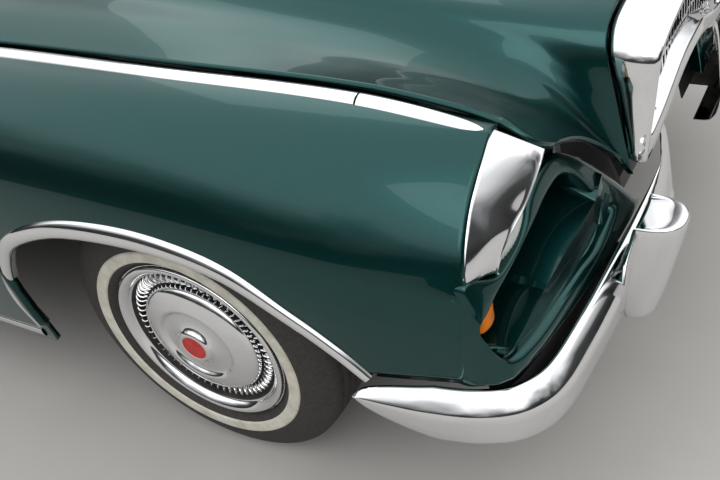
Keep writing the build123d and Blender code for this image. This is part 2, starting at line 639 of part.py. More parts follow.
def main():
    os.makedirs("parts", exist_ok=True)

    wing = front_wing()
    save("wing_left", wing)
    save("wing_right", mirrored(wing))
    quarter_stations = [DOOR_REAR_Y + GAP, 900, 1391, 1900, 2200, TAIL_Y + 60]
    rear_fill = side_fill(quarter_stations, 5)
    front_fill = side_fill([WING_FRONT_Y - 2, -2080, -1860, -1670], 4)

    house = greenhouse(0)
    screen = screen_prism(BELT_Z + 22, 1312, 612, 512, -900)
    back = screen_prism(BELT_Z + 30, 1296, 560, 480, 750)
    roof = house - greenhouse(ROOF_THICK) - screen - back
    for prism in (door_window(DOOR_TOP_CUT_Z, SIDE_GLASS_TOP, 0, DOOR_REAR_Y + GAP), quarter_window(DOOR_REAR_Y)):
        roof = roof - prism - mirrored(prism)
    foot = side_fill([-1000, -760, -380, 0, DOOR_REAR_Y + GAP], 4)
    foot = foot - block(-640, 640, -1100, 500, 0, 1100)
    roof = roof - foot - mirrored(foot) - block(-640, 640, -640, 1000, 900, 950)
    save("roof", roof)

    pane_form = greenhouse(GLASS_INSET) - greenhouse(GLASS_INSET + GLASS_THICK)
    save("windscreen", pane_form & screen)
    save("rear_window", pane_form & back)
    pane = pane_form & quarter_window(DOOR_REAR_Y + GAP)
    save("quarter_glass", [pane, mirrored(pane)])

    quarter = rear_quarter() - house
    save("quarter_left", quarter)
    save("quarter_right", mirrored(quarter))
    left_door = door()
    save("door_left", left_door)
    save("door_right", mirrored(left_door))
    pane = (pane_form & door_window(900, SIDE_GLASS_TOP - GAP, GAP + 4, DOOR_REAR_Y)) - left_door
    save("door_glass_left", pane)
    save("door_glass_right", mirrored(pane))

    save("hood", hood())
    save("cowl", hood_slab([HOOD_REAR_Y + GAP, -760, -640], SKIN) - house)
    slab = deck_slab() - house
    save("deck", slab - boot_prism(0))
    save("boot_lid", slab & boot_prism(-GAP))
    inner = offset(side_points(TAIL_Y - 30, 440, 34), SKIN + 8)
    points = [(0, inner[0][1] - 6)] + inner[2:] + [(0, 440)]
    half = extrude(Face(Wire.make_polygon([Vector(x, TAIL_Y - 30, z) for x, z in points], close=True)), 24, dir=(0, 1, 0))
    save("tail_panel", half + mirrored(half) - slab)

    save("front_pan", front_pan())
    save("grille_shell", grille_shell())
    save("grille_insert", grille_insert())
    bar = bumper(BUMPER_PLAN, BUMPER_LEVELS, BUMPER_WALL) - front_fill - mirrored(front_fill)
    front_bar = bar + guard(GUARD_X) + guard(-GUARD_X)
    save("bumper_front", front_bar)
    rear_bar = rear_bumper() - rear_fill - mirrored(rear_fill)
    save("bumper_rear", rear_bar)

    ring = Pos(LAMP_X, LAMP_Y, LAMP_Z) * Rot(90, 0, 0) * (Cylinder(BEZEL_R, BEZEL_DEEP) - Cylinder(LAMP_R + 1, 200))
    save("headlamp_bezels", [ring, mirrored(ring)])
    lens = Pos(LAMP_X, LAMP_Y, LAMP_Z) * Rot(90, 0, 0) * Cylinder(LAMP_R + 1, 24)
    save("headlamps", [lens, mirrored(lens)])
    amber = block(772, 806, -2356, -2336, 560, 620)
    save("turn_lamps", [amber, mirrored(amber)])
    tail = Pos(700, TAIL_Y + 5, 760) * Rot(90, 0, 0) * Cylinder(48, 22)
    save("tail_lamps", [tail, mirrored(tail)])

    rail = frame_rail() - front_bar - rear_bar
    save("chassis_frame", [rail, mirrored(rail), *cross_members()])
    save("underbody", underbody())
    save("engine", block(-240, 240, -1960, -1160, 353, 760))
    save("radiator", block(-RAIL_X0, RAIL_X0, -2200, -2140, 385, 800))
    save("front_suspension", front_suspension())
    save("driveline", driveline())
    save("exhaust", exhaust())
    save("fuel_tank", block(-RAIL_X0, RAIL_X0, 1880, 2250, 300, 480))
    tunnel = block(-TUNNEL_HALF - 8, TUNNEL_HALF + 8, -1000, 1000, 200, TUNNEL_TOP_Z + 6)
    save("front_seat", cushion(640, -170, 330, 284, 540) + cushion(640, 300, 430, 400, 880) - tunnel)
    save("rear_seat", [cushion(600, 500, 860, 284, 540) - tunnel, cushion(540, 884, 1004, 560, 872)])
    save("dashboard", dashboard())
    save("steering_wheel", steering_wheel())

    left = knuckle()
    save("knuckle_left", left)
    save("knuckle_right", mirrored(left))
    tyre_section, rim_section = tyre(), rim_sketch()
    for end, y in (("front", FRONT_AXLE_Y), ("rear", REAR_AXLE_Y)):
        for side, sign in (("left", 1), ("right", -1)):
            save(f"tyre_{end}_{side}", wheel_solid(tyre_section, y, sign))
            save(f"wheel_{end}_{side}", wheel_solid(rim_section, y, sign))


if __name__ == "__main__":
    main()
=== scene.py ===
"""The finish of a two-door hardtop car of the 1950s: paint, chrome, glass, whitewall tyres and trim.

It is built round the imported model. Tables are in millimetres in the car's frame: X to its left, -Y forwards,
Z up. A surface is a function of two parameters worked out on a grid, and put() scales it to metres.
"""

import json

import bmesh
import bpy
import numpy as np
from mathutils import Matrix, Vector
from mathutils.bvhtree import BVHTree


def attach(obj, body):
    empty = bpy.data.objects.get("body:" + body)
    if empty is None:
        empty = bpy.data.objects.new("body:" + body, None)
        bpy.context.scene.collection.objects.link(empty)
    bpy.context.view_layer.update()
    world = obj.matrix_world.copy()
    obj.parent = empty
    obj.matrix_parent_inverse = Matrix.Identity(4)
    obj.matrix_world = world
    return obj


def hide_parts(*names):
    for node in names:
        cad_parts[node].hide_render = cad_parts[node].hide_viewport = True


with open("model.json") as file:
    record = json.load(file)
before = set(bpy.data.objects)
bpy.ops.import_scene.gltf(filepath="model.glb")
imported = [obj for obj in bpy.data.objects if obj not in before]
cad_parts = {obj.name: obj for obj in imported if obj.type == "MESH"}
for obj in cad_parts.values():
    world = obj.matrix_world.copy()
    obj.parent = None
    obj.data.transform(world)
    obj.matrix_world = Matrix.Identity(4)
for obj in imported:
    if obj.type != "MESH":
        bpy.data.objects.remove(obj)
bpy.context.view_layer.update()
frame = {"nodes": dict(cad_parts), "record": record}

MM = 0.001
FRONT_AXLE_Y = -1670
REAR_AXLE_Y = 1391
HALF_TRACK = 722
TYRE_R = 335
SIDES = ((1, "left"), (-1, "right"))

# Thickness of the painted skins, of the bright pressings and of the thinnest sheets
PANEL = 12
PRESSING = 3
THIN = 2

# The camera of the photograph
CAMERA_AT = (-1.7636, -2.9007, 1.6966)
CAMERA_RIGHT = (0.47696558, -0.85813744, -0.19001043)
CAMERA_DOWN = (-0.62493373, -0.17909866, -0.75985624)
CAMERA_AHEAD = (0.61803047, 0.4811692, -0.62170293)
CAMERA_LENS = 47.73


# Materials

def material(name, base, metallic=0.0, roughness=0.5, **sockets):
    """A Principled material with constants on its sockets."""
    m = bpy.data.materials.new(name)
    m.use_nodes = True
    b = m.node_tree.nodes["Principled BSDF"]
    b.inputs["Base Color"].default_value = (*base, 1)
    b.inputs["Metallic"].default_value = metallic
    b.inputs["Roughness"].default_value = roughness
    for key, value in sockets.items():
        b.inputs[key.replace("_", " ")].default_value = value
    return m


def node(m, kind, **values):
    """A node of a material with its plain values set."""
    n = m.node_tree.nodes.new(kind)
    for key, value in values.items():
        if key in n.inputs:
            n.inputs[key].default_value = value
        else:
            setattr(n, key, value)
    return n


def link(m, a, out, b, into):
    m.node_tree.links.new(a.outputs[out], b.inputs[into])


def into_shader(m, source, out, socket):
    """A pattern or ramp led to a socket of a material's shader."""
    link(m, source, out, m.node_tree.nodes["Principled BSDF"], socket)


def noise(m, scale, detail=3.0, rough=0.5):
    """A noise pattern on Object coordinates, at a scale in repeats per metre."""
    place = node(m, "ShaderNodeTexCoord")
    n = node(m, "ShaderNodeTexNoise", Scale=scale, Detail=detail, Roughness=rough)
    link(m, place, "Object", n, "Vector")
    return n


def ramp(m, source, out, stops):
    """A colour ramp over a pattern; stops are (place, colour)."""
    r = node(m, "ShaderNodeValToRGB")
    while len(r.color_ramp.elements) < len(stops):
        r.color_ramp.elements.new(0.5)
    for e, (at, colour) in zip(r.color_ramp.elements, stops):
        e.position = at
        e.color = (*colour, 1) if len(colour) == 3 else (colour[0],) * 3 + (1,)
    link(m, source, out, r, "Fac")
    return r


def bump(m, source, out, strength, distance):
    """Bump on a material's surface from a pattern."""
    b = node(m, "ShaderNodeBump", Strength=strength, Distance=distance)
    link(m, source, out, b, "Height")
    into_shader(m, b, "Normal", "Normal")


def colour_from(m, source, out, stops):
    into_shader(m, ramp(m, source, out, stops), "Color", "Base Color")


def roughness_from(m, source, out, low, high):
    into_shader(m, ramp(m, source, out, [(0.3, (low,)), (0.7, (high,))]), "Color", "Roughness")


def paint_material():
    """Dark teal-green metallic lacquer under a clear coat, with fine flake and faint dust."""
    m = material("teal_metallic_paint", (0.001, 0.050, 0.046), 0.9, 0.26, Coat_Weight=0.6,
                 Coat_Roughness=0.02)
    flake = noise(m, 2600, 1)
    bump(m, flake, "Fac", 0.06, 0.0002)
    colour_from(m, noise(m, 900, 2), "Fac", [(0.35, (0.0005, 0.034, 0.032)), (0.65, (0.0015, 0.060, 0.055))])
    return m


def chrome_material():
    m = material("bright_chrome", (0.78, 0.78, 0.79), 1.0, 0.06)
    roughness_from(m, noise(m, 9, 6, 0.6), "Fac", 0.03, 0.12)
    return m


def rusty_material(name, scale, at):
    """Bright metal with brown rust where a noise pattern passes a level."""
    m = material(name, (0.6, 0.6, 0.6), 1.0, 0.2)
    spots = noise(m, scale, 8, 0.7)
    colour_from(m, spots, "Fac", [(at, (0.62, 0.62, 0.62)), (at + 0.05, (0.13, 0.045, 0.015))])
    for socket, bright, rusty in (("Roughness", 0.12, 0.85), ("Metallic", 1.0, 0.0)):
        into_shader(m, ramp(m, spots, "Fac", [(at, (bright,)), (at + 0.05, (rusty,))]), "Color", socket)
    return m


def tyre_material():
    m = material("tyre_rubber", (0.03, 0.027, 0.024), 0.0, 0.75)
    grain = noise(m, 120, 6, 0.6)
    colour_from(m, grain, "Fac", [(0.3, (0.022, 0.020, 0.018)), (0.7, (0.045, 0.040, 0.034))])
    bump(m, grain, "Fac", 0.2, 0.0006)
    return m


def whitewall_material():
    m = material("whitewall_rubber", (0.62, 0.60, 0.52), 0.0, 0.6)
    dirt = noise(m, 30, 6, 0.65)
    colour_from(m, dirt, "Fac", [(0.3, (0.48, 0.45, 0.37)), (0.6, (0.66, 0.63, 0.55))])
    return m


def glass_material():
    m = material("window_glass", (0.80, 0.90, 0.87), 0.0, 0.02, Transmission_Weight=0.92, IOR=1.45)
    roughness_from(m, noise(m, 3, 3), "Fac", 0.01, 0.03)
    return m


def dark_metal_material():
    m = material("satin_black_steel", (0.03, 0.03, 0.03), 0.3, 0.55)
    grime = noise(m, 14, 8, 0.65)
    colour_from(m, grime, "Fac", [(0.35, (0.018, 0.017, 0.016)), (0.7, (0.07, 0.06, 0.05))])
    bump(m, grime, "Fac", 0.15, 0.002)
    return m


def cloth_material():
    m = material("seat_cloth", (0.16, 0.20, 0.18), 0.0, 0.85, Sheen_Weight=0.3)
    weave = node(m, "ShaderNodeTexWave", Scale=120.0, Distortion=1.0)
    place = node(m, "ShaderNodeTexCoord")
    link(m, place, "Object", weave, "Vector")
    colour_from(m, weave, "Fac", [(0.2, (0.10, 0.15, 0.13)), (0.8, (0.22, 0.27, 0.24))])
    bump(m, weave, "Fac", 0.3, 0.001)
    return m


def plain_material(name, base, metallic, roughness, scale, spread):
    """A finish with a soft mottled colour."""
    m = material(name, base, metallic, roughness)
    low = tuple(c * (1 - spread) for c in base)
    high = tuple(min(1.0, c * (1 + spread)) for c in base)
    colour_from(m, noise(m, scale, 4), "Fac", [(0.3, low), (0.7, high)])
    return m


PAINT = paint_material()
CHROME = chrome_material()
RUBBER = tyre_material()
WHITEWALL = whitewall_material()
GLASS = glass_material()
BLACK = dark_metal_material()
CLOTH = cloth_material()
LENS = plain_material("lamp_glass", (0.62, 0.64, 0.62), 0.0, 0.08, 20, 0.1)
AMBER = plain_material("amber_lens", (0.75, 0.19, 0.01), 0.0, 0.12, 40, 0.15)
RED = plain_material("red_lens", (0.35, 0.008, 0.006), 0.0, 0.12, 40, 0.2)
RED_DISC = plain_material("red_enamel", (0.50, 0.015, 0.010), 0.0, 0.25, 60, 0.2)
DASH = plain_material("dash_paint", (0.03, 0.08, 0.07), 0.2, 0.4, 25, 0.15)
# Painted shade: a near-black mottled finish for the sheets put where the slots round the face show only shade
SHADE_SHEET_BLACK = plain_material("painted_shade_black", (0.006, 0.006, 0.006), 0.0, 0.8, 30, 0.3)
PLATE = plain_material("blank_plate", (0.55, 0.53, 0.46), 0.0, 0.5, 30, 0.08)
RUSTY_RIM = rusty_material("rusty_rim", 28, 0.56)
STEEL = plain_material("wheel_cover_steel", (0.55, 0.55, 0.55), 1.0, 0.22, 30, 0.1)


# Tables shared with the solids

# Body side. Columns: y, crest x, crest z, widest x, widest z, lowest x, lowest z
BODY_SIDE = np.array([
    (-2322, 628, 848, 842, 575, 845, 485),
    (-2080, 640, 886, 882, 600, 880, 470),
    (-1670, 665, 906, 893, 610, 884, 420),
    (-1250, 676, 915, 897, 620, 868, 262),
    (-760, 704, 924, 900, 630, 862, 258),
    (400, 726, 938, 898, 640, 860, 258),
    (900, 722, 942, 893, 650, 858, 262),
    (1391, 712, 941, 888, 650, 855, 300),
    (1900, 690, 926, 868, 640, 838, 345),
    (2470, 640, 884, 812, 620, 790, 420),
], float)
FLANGE = 34
WING_ENDS = (-2322, -768)
QUARTER_ENDS = (408, 2470)

# Hood. Columns: y, crown z, nose half-width, valley x, valley z
HOOD = np.array([
    (-2388, 866, 300, 425, 705),
    (-2320, 880, 306, 440, 765),
    (-2200, 902, 320, 460, 822),
    (-2000, 930, 345, 485, 872),
    (-1670, 957, 380, 520, 915),
    (-1250, 976, 400, 540, 939),
    (-905, 986, 410, 560, 948),
    (-600, 992, 420, 570, 954),
], float)
HOOD_EDGE_IN = 40
HOOD_EDGE_DROP = 6
HOOD_ENDS = (-2388, -905)
COWL_ENDS = (-897, -640)

FRONT_ARCH = [(402, 330), (417, 420), (390, 510), (330, 590), (200, 648), (50, 668), (-110, 665),
              (-240, 640), (-350, 575), (-420, 520), (-474, 462)]
REAR_ARCH = [(400, 330), (405, 420), (375, 500), (300, 575), (170, 622), (0, 636), (-170, 622), (-300, 575),
             (-375, 500), (-405, 420), (-400, 330)]


def run_length(line):
    """The length along a line up to each of its points."""
    return np.concatenate([[0], np.cumsum(np.linalg.norm(np.diff(line, axis=0), axis=1))])


def sampled(line, run, where):
    """Points of a line at given lengths along it."""
    return np.stack([np.interp(where, run, line[:, c]) for c in range(line.shape[1])], axis=-1)


def unit(rows):
    """Each row at a length of one."""
    return rows / np.linalg.norm(rows, axis=1)[:, None]


def looking_at(plan, at):
    """Unit normals of a plane line, each turned to the side on which a point lies."""
    along = unit(np.gradient(plan, axis=0))
    normals = np.stack([along[:, 1], -along[:, 0]], axis=1)
    return normals * np.sign((normals * (np.array(at) - plan)).sum(axis=1))[:, None]


def smooth_step(a, b, c, d, t):
    """From b at t = 0 to c at t = 1 on a cubic led by the neighbours a and d (Catmull-Rom)."""
    return 0.5 * (2 * b + (c - a) * t + (2 * a - 5 * b + 4 * c - d) * t**2 + (3 * b - a - 3 * c + d) * t**3)


def sloped_step(a, b, slope_a, slope_b, span, t):
    """From a at t = 0 to b at t = 1 on a cubic with a slope at each end (Hermite)."""
    return ((2 * t**3 - 3 * t**2 + 1) * a + (t**3 - 2 * t**2 + t) * span * slope_a
            + (3 * t**2 - 2 * t**3) * b + (t**3 - t**2) * span * slope_b)


def hermite(rows, y):
    """Every column but the first at each y, on a smooth curve through the table's rows."""
    ys = rows[:, 0]
    slopes = np.gradient(rows[:, 1:], ys, axis=0)
    for k in range(1, len(ys) - 1):
        slopes[k] = (rows[k + 1, 1:] - rows[k - 1, 1:]) / (ys[k + 1] - ys[k - 1])
    y = np.asarray(y, float)
    i = np.clip(np.searchsorted(ys, y, side="right") - 1, 0, len(ys) - 2)
    span = (ys[i + 1] - ys[i])[..., None]
    t = ((y - ys[i]) / (ys[i + 1] - ys[i]))[..., None]
    return sloped_step(rows[i, 1:], rows[i + 1, 1:], slopes[i], slopes[i + 1], span, t)


STEPS_A_SPAN = 24


def through(points, count, closed=False):
    """count points on a smooth curve through the given points, evenly spaced by length (Catmull-Rom)."""
    p = np.asarray(points, float)
    n = len(p)
    if closed:
        ext = np.vstack([p[-1:], p, p[:2]])
        spans = n
    else:
        ext = np.vstack([2 * p[:1] - p[1:2], p, 2 * p[-1:] - p[-2:-1]])
        spans = n - 1
    t = np.linspace(0, 1, STEPS_A_SPAN, endpoint=False)[:, None]
    parts = [smooth_step(*ext[k:k + 4], t) for k in range(spans)]
    line = np.vstack([*parts, ext[spans + 1][None]])
    run = run_length(line)
    return sampled(line, run, np.linspace(0, run[-1], count, endpoint=not closed))


def rounded(points, radius, count):
    """count points along straight runs whose corners are softened over about radius."""
    p = np.asarray(points, float)
    run = run_length(p)
    where = np.linspace(0, run[-1], count)
    offsets = np.linspace(-radius, radius, 9)
    near_end = np.minimum(1, np.minimum(where, run[-1] - where) / radius)
    reach = np.clip(where[:, None] + offsets * near_end[:, None], 0, run[-1])
    return sampled(p, run, reach).mean(axis=1)


# Meshes

def put(name, grid, mat, around=False):
    """A mesh through a grid of points in millimetres, each row closed to a loop on request."""
    g = np.asarray(grid, float)
    rows, cols = g.shape[:2]
    i = np.arange(rows - 1)[:, None]
    j = np.arange(cols if around else cols - 1)[None, :]
    row, below, turn = i * cols, (i + 1) * cols, (j + 1) % cols
    faces = np.stack([row + j, below + j, below + turn, row + turn], axis=-1)
    return mesh_object(name, g.reshape(-1, 3), faces.reshape(-1, 4), mat)


def mesh_object(name, points, faces, mat):
    """A smooth-shaded object from points in millimetres and rows of face corners."""
    mesh = bpy.data.meshes.new(name)
    mesh.from_pydata((np.asarray(points) * MM).tolist(), [], np.asarray(faces).tolist())
    mesh.update()
    o = bpy.data.objects.new(name, mesh)
    bpy.context.scene.collection.objects.link(o)
    o.data.materials.append(mat)
    mesh.shade_smooth()
    return o


def solid(o, thick):
    """A wall of a thickness in millimetres, grown to the inside of a surface."""
    m = o.modifiers.new("wall", "SOLIDIFY")
    m.thickness = thick * MM
    m.offset = -1
    m.use_rim = True
    m.use_even_offset = False
    return o


def tidy(o, angle=40):
    """Doubles merged, faces turned outwards and sharp edges marked."""
    b = bmesh.new()
    b.from_mesh(o.data)
    bmesh.ops.remove_doubles(b, verts=b.verts, dist=1e-5)
    bmesh.ops.recalc_face_normals(b, faces=b.faces)
    b.to_mesh(o.data)
    b.free()
    o.data.set_sharp_from_angle(angle=np.radians(angle))
    return o


def flipped(o):
    """The same surface with its faces turned over."""
    o.data.flip_normals()
    return o


def sided(grid, side):
    """A grid for the left, or mirrored for the right with its rows in the order that keeps faces outwards."""
    g = np.array(grid, float)
    if side < 0:
        g[..., 0] *= -1
        g = g[:, ::-1]
    return g


# Body sides

def side_point(y, low, v):
    """The body side at y, from the crest at v = 0 to a lowest height at v = 1.

    Above the widest line it is a quarter ellipse, x by the sine and z by the cosine of one angle, and below
    it a parabola in z that draws in to the lowest edge.
    """
    xc, zc, xm, zm, xs, zs = np.moveaxis(hermite(BODY_SIDE, y), -1, 0)
    above = np.clip((low - zm) / (zc - zm), -1, 1)
    end = np.where(low > zm, np.arccos(np.maximum(above, 0)), np.pi / 2 + (zm - low) / (zc - zm))
    a = v * end
    z = np.where(a < np.pi / 2, zm + (zc - zm) * np.cos(a), zm - (zc - zm) * (a - np.pi / 2))
    reach = np.clip((zm - z) / (zm - zs), 0, None)
    x = np.where(a < np.pi / 2, xc + (xm - xc) * np.sin(np.minimum(a, np.pi / 2)), xm - (xm - xs) * reach**2)
    return np.stack([x, y, z], axis=-1)


def lower_edge(arch, axle_y, y0, y1, count):
    """Stations along a panel's lower edge: its y and z, round the wheel arch, and a y for the crest."""
    curve = through(arch, 90)
    curve[:, 0] += axle_y
    curve = curve[::-1] if curve[0, 0] > curve[-1, 0] else curve
    front_y, rear_y = curve[0, 0], curve[-1, 0]
    before = np.linspace(y0, front_y, max(3, int((front_y - y0) / 30)))
    after = np.linspace(rear_y, y1, max(3, int((y1 - rear_y) / 30)))
    foot_front = np.stack([before, hermite(BODY_SIDE, before)[:, 5]], axis=1)
    foot_rear = np.stack([after, hermite(BODY_SIDE, after)[:, 5]], axis=1)
    drop_front = np.linspace(foot_front[-1], curve[0], 5)[1:-1]
    drop_rear = np.linspace(curve[-1], foot_rear[0], 5)[1:-1]
    edge = np.vstack([foot_front, drop_front, curve, drop_rear, foot_rear])
    run = run_length(edge)
    where = np.linspace(0, run[-1], count)
    edge = sampled(edge, run, where)
    crest = y0 + (y1 - y0) * where / run[-1]
    return edge, crest


def side_grid(arch, axle_y, y0, y1, count=176, rows=42):
    """A wing or quarter: columns lean from an even spacing at the crest to the arch's spacing at the edge."""
    edge, crest = lower_edge(arch, axle_y, y0, y1, count)
    v = np.linspace(0, 1, rows)[:, None]
    lean = v * v * (3 - 2 * v)
    y = crest[None, :] * (1 - lean) + edge[None, :, 0] * lean
    return side_point(y, np.broadcast_to(edge[None, :, 1], y.shape), np.broadcast_to(v, y.shape))


def crest_flange(grid):
    """Rows inboard of the crest, down to the gap beside the hood or deck."""
    top = grid[0]
    rows = []
    for step in (1.0, 0.8, 0.5, 0.25):
        row = top.copy()
        row[:, 0] -= FLANGE * step
        row[:, 2] -= 6 * step**2
        rows.append(row)
    return np.concatenate([np.array(rows), grid])


def wing(side, name):
    grid = crest_flange(wing_front(side_grid(FRONT_ARCH, FRONT_AXLE_Y, *WING_ENDS)))
    return solid(put(name, sided(grid, side), PAINT), PANEL)


def quarter(side, name):
    grid = crest_flange(side_grid(REAR_ARCH, REAR_AXLE_Y, *QUARTER_ENDS))
    return solid(put(name, sided(grid, side), PAINT), PANEL)


# Meeting a measured edge

def drawn_to(grid, target, reach, power=2.2):
    """A grid whose first column is carried onto target: each point moves by the column's own miss, times
    (1 - s / reach) to a power, with s its distance along the row from that edge."""
    step = np.linalg.norm(np.diff(grid, axis=1), axis=2)
    run = np.concatenate([np.zeros((len(grid), 1)), np.cumsum(step, axis=1)], axis=1)
    fade = np.clip(1 - run / reach, 0, 1) ** power
    return grid + (target - grid[:, 0])[:, None, :] * fade[..., None]


def along_table(rows, keys):
    """Rows of a table of points at given values of its first column, which may fall or rise."""
    r = np.asarray(rows, float)
    r = r if r[0, 0] < r[-1, 0] else r[::-1]
    keys = np.asarray(keys, float)
    slope = np.gradient(r[:, 1:], r[:, 0], axis=0)
    i = np.clip(np.searchsorted(r[:, 0], keys, side="right") - 1, 0, len(r) - 2)
    span = (r[i + 1, 0] - r[i, 0])[:, None]
    t = np.clip((keys - r[i, 0])[:, None] / span, 0, 1)
    return sloped_step(r[i, 1:], r[i + 1, 1:], slope[i], slope[i + 1], span, t)


# The wing's front edge. Columns: z, x, y
WING_FACE = [(848, 626, -2320), (838, 652, -2323), (800, 722, -2327), (760, 770, -2331), (720, 799, -2336),
             (690, 811, -2340), (670, 820, -2343), (630, 832, -2341), (600, 837, -2337), (540, 841, -2330),
             (476, 842, -2320)]


def wing_front(grid):
    """The wing with its front edge carried onto the measured one."""
    edge = grid[:, 0]
    target = along_table(WING_FACE, edge[:, 2])
    goal = np.stack([target[:, 0], target[:, 1], edge[:, 2]], axis=1)
    return drawn_to(grid, goal, WING_REACH)


# How far back the measured front edges pull at the wing and at the hood
WING_REACH = 190
LIP_REACH = 210

# The hood's front lip, from the crown to the wing. Columns: place across, as hood_row counts it, x, y, z
HOOD_LIP = [(0, 0, -2395, 866), (1, 125, -2395, 865), (1.7, 205, -2395, 862), (2.5, 268, -2396, 848),
            (3, 292, -2399, 830), (3.5, 306, -2408, 790), (4, 318, -2426, 705), (4.4, 328, -2442, 622),
            (4.75, 337, -2450, 580), (5.1, 352, -2432, 618), (5.5, 374, -2408, 655), (6, 412, -2390, 694),
            (6.5, 456, -2382, 724), (7, 508, -2380, 752), (7.5, 560, -2382, 781), (7.85, 592, -2358, 816),
            (8, 591, -2320, 842)]


def hood_row(y, u):
    """The hood's skin at y, on a smooth curve through nine points: u is 0 at the middle and 8 at the edge."""
    y = np.asarray(y, float)
    zh, nose, xv, zv = np.moveaxis(hermite(HOOD, y), -1, 0)
    side = hermite(BODY_SIDE, y)
    xe = side[..., 0] - HOOD_EDGE_IN
    ze = side[..., 1] - HOOD_EDGE_DROP
    drop = zh - zv
    x = np.stack([0 * zh, 0.45 * nose, 0.82 * nose, nose, nose + 0.22 * (xv - nose),
                  nose + 0.55 * (xv - nose), xv, (xv + xe) / 2, xe])
    z = np.stack([zh, zh - 0.02 * drop - 2, zh - 0.07 * drop - 5, zh - 0.24 * drop, zh - 0.55 * drop,
                  zh - 0.88 * drop, zv, zv + 0.4 * (ze - zv), ze])
    points = np.stack([x, np.broadcast_to(y, x.shape), z], axis=-1)
    points = np.concatenate([points[1:2] * (-1, 1, 1), points, 2 * points[-1:] - points[-2:-1]])
    i = np.clip(u.astype(int), 0, 7)
    t = (u - i)[:, None, None]
    a, b, c, d = (points[i + k] for k in range(4))
    return smooth_step(a, b, c, d, t)


def hood_grid(y0, y1, count, lip=None):
    """The hood from edge to edge, with its front drawn down to the lip: rows across, columns along y."""
    u = np.concatenate([np.linspace(0, 3, 19)[:-1], np.linspace(3, 6, 41)[:-1], np.linspace(6, 8, 17)])
    y = y0 + (y1 - y0) * np.linspace(0, 1, count) ** 1.35
    half = hood_row(y, u)
    if lip is not None:
        half = drawn_to(half, along_table(lip, u), LIP_REACH, 2.6)
    return np.concatenate([half[:0:-1] * (-1, 1, 1), half])


def hood():
    return solid(flipped(put("painted_hood", hood_grid(*HOOD_ENDS, 90, HOOD_LIP), PAINT)), PANEL)


def cowl():
    return solid(flipped(put("painted_cowl", hood_grid(*COWL_ENDS, 14), PAINT)), PANEL)


# Lamp surround, a brow over the lamp: its rear edge on the wing and its front lip, from the hood to the foot.
# Columns: place along, x, y, z
BROW_REAR = [(0, 607, -2318, 842), (1, 655, -2321, 832), (2, 700, -2325, 808), (3, 741, -2328, 782),
             (4, 784, -2333, 737), (5, 810, -2337, 694), (6, 794, -2341, 678), (7, 768, -2346, 665),
             (8, 740, -2352, 653)]
BROW_FRONT = [(0, 588, -2391, 802), (1, 604, -2389, 783), (2, 632, -2386, 761), (3, 666, -2381, 738),
              (4, 705, -2376, 723), (5, 732, -2370, 704), (6, 746, -2366, 684), (7, 747, -2363, 669),
              (8, 742, -2359, 656)]
LAMP = (662, -2357, 698)
LENS_R = 78
RIM_HALF = 2.5


def brow_grid():
    """Rows from the wing forwards over a crowned band, round the lip and back under it to the lamp's ring.

    A row at share t is rear + (front - rear) t, raised along the outward slope by 3 sin(pi t).
    """
    u = np.linspace(0, 8, 150)
    rear, front = along_table(BROW_REAR, u), along_table(BROW_FRONT, u)
    slope = np.array([0.62, -0.35, 0.70])
    fade = np.sin(np.pi * np.clip(u / 8, 0.03, 0.97))[:, None] ** 0.4
    rows = [rear + np.array([0, 9, 0]), rear + np.array([0, 2, 0])]
    for t in np.linspace(0, 0.97, 18):
        rows.append(rear + (front - rear) * t + slope * 3 * fade * np.sin(np.pi * t))
    for turn in np.linspace(0.2, 1, 5):
        rows.append(front + np.array([0, -2.5, 0]) * np.sin(np.pi * turn) - np.array([1.2, 0, 2.6]) * turn)
    inner = front - np.array([1.2, 0, 2.6]) + (rear - front) * 0.35
    inner[:, 1] = np.minimum(front[:, 1] + 34, -2338)
    rows += [rows[-1] + (inner - rows[-1]) * t for t in (0.3, 0.65, 1.0)]
    return np.array(rows)


def facing(o, centre):
    """Turns a piece's faces over if they look towards a point in millimetres more than away from it."""
    n = len(o.data.polygons)
    normals = np.empty(n * 3)
    centres = np.empty(n * 3)
    areas = np.empty(n)
    o.data.polygons.foreach_get("normal", normals)
    o.data.polygons.foreach_get("center", centres)
    o.data.polygons.foreach_get("area", areas)
    away = centres.reshape(-1, 3) - np.asarray(centre, float) * MM
    if ((normals.reshape(-1, 3) * away).sum(axis=1) * areas).sum() < 0:
        o.data.flip_normals()
    return o


def brow(side, name):
    o = facing(put(name, sided(brow_grid(), side), CHROME), (side * 600, -2250, 640))
    return solid(o, THIN)


def lamp_rim(side, name):
    """A thin bright ring round the lens: a half circle turned about the lamp's axis."""
    a = np.linspace(0, 2 * np.pi, 120, endpoint=False)[None, :]
    b = np.linspace(-0.2, np.pi + 0.2, 11)[:, None]
    r = LENS_R + 2 + RIM_HALF * np.cos(b)
    y = LAMP[1] + 10 - 3 * np.sin(b) + 0 * a
    grid = np.stack([LAMP[0] + r * np.cos(a), y, LAMP[2] + r * np.sin(a)], axis=-1)
    return facing(put(name, sided(grid, side), CHROME, around=True), (side * LAMP[0], LAMP[1] + 60, LAMP[2]))


def lens(side, name):
    """A domed lens: depth by a parabola of the radius, with upright ribs as a cosine of x."""
    r = np.linspace(0, 1, 40)[:, None] ** 0.8
    a = np.linspace(0, 2 * np.pi, 160, endpoint=False)[None, :]
    x = LENS_R * r * np.cos(a)
    z = LENS_R * r * np.sin(a)
    y = LAMP[1] + 12 - 16 * (1 - r**2) - 1.2 * np.cos(x * 2 * np.pi / 9) * np.clip(1.15 - r**6, 0, 1)
    grid = np.stack([LAMP[0] + x, y + 0 * a, LAMP[2] + z], axis=-1)
    grid = np.concatenate([grid, grid[-1:] + np.array([0, 12, 0])])
    return facing(put(name, sided(grid, side), LENS, around=True), (side * LAMP[0], LAMP[1] + 200, LAMP[2]))


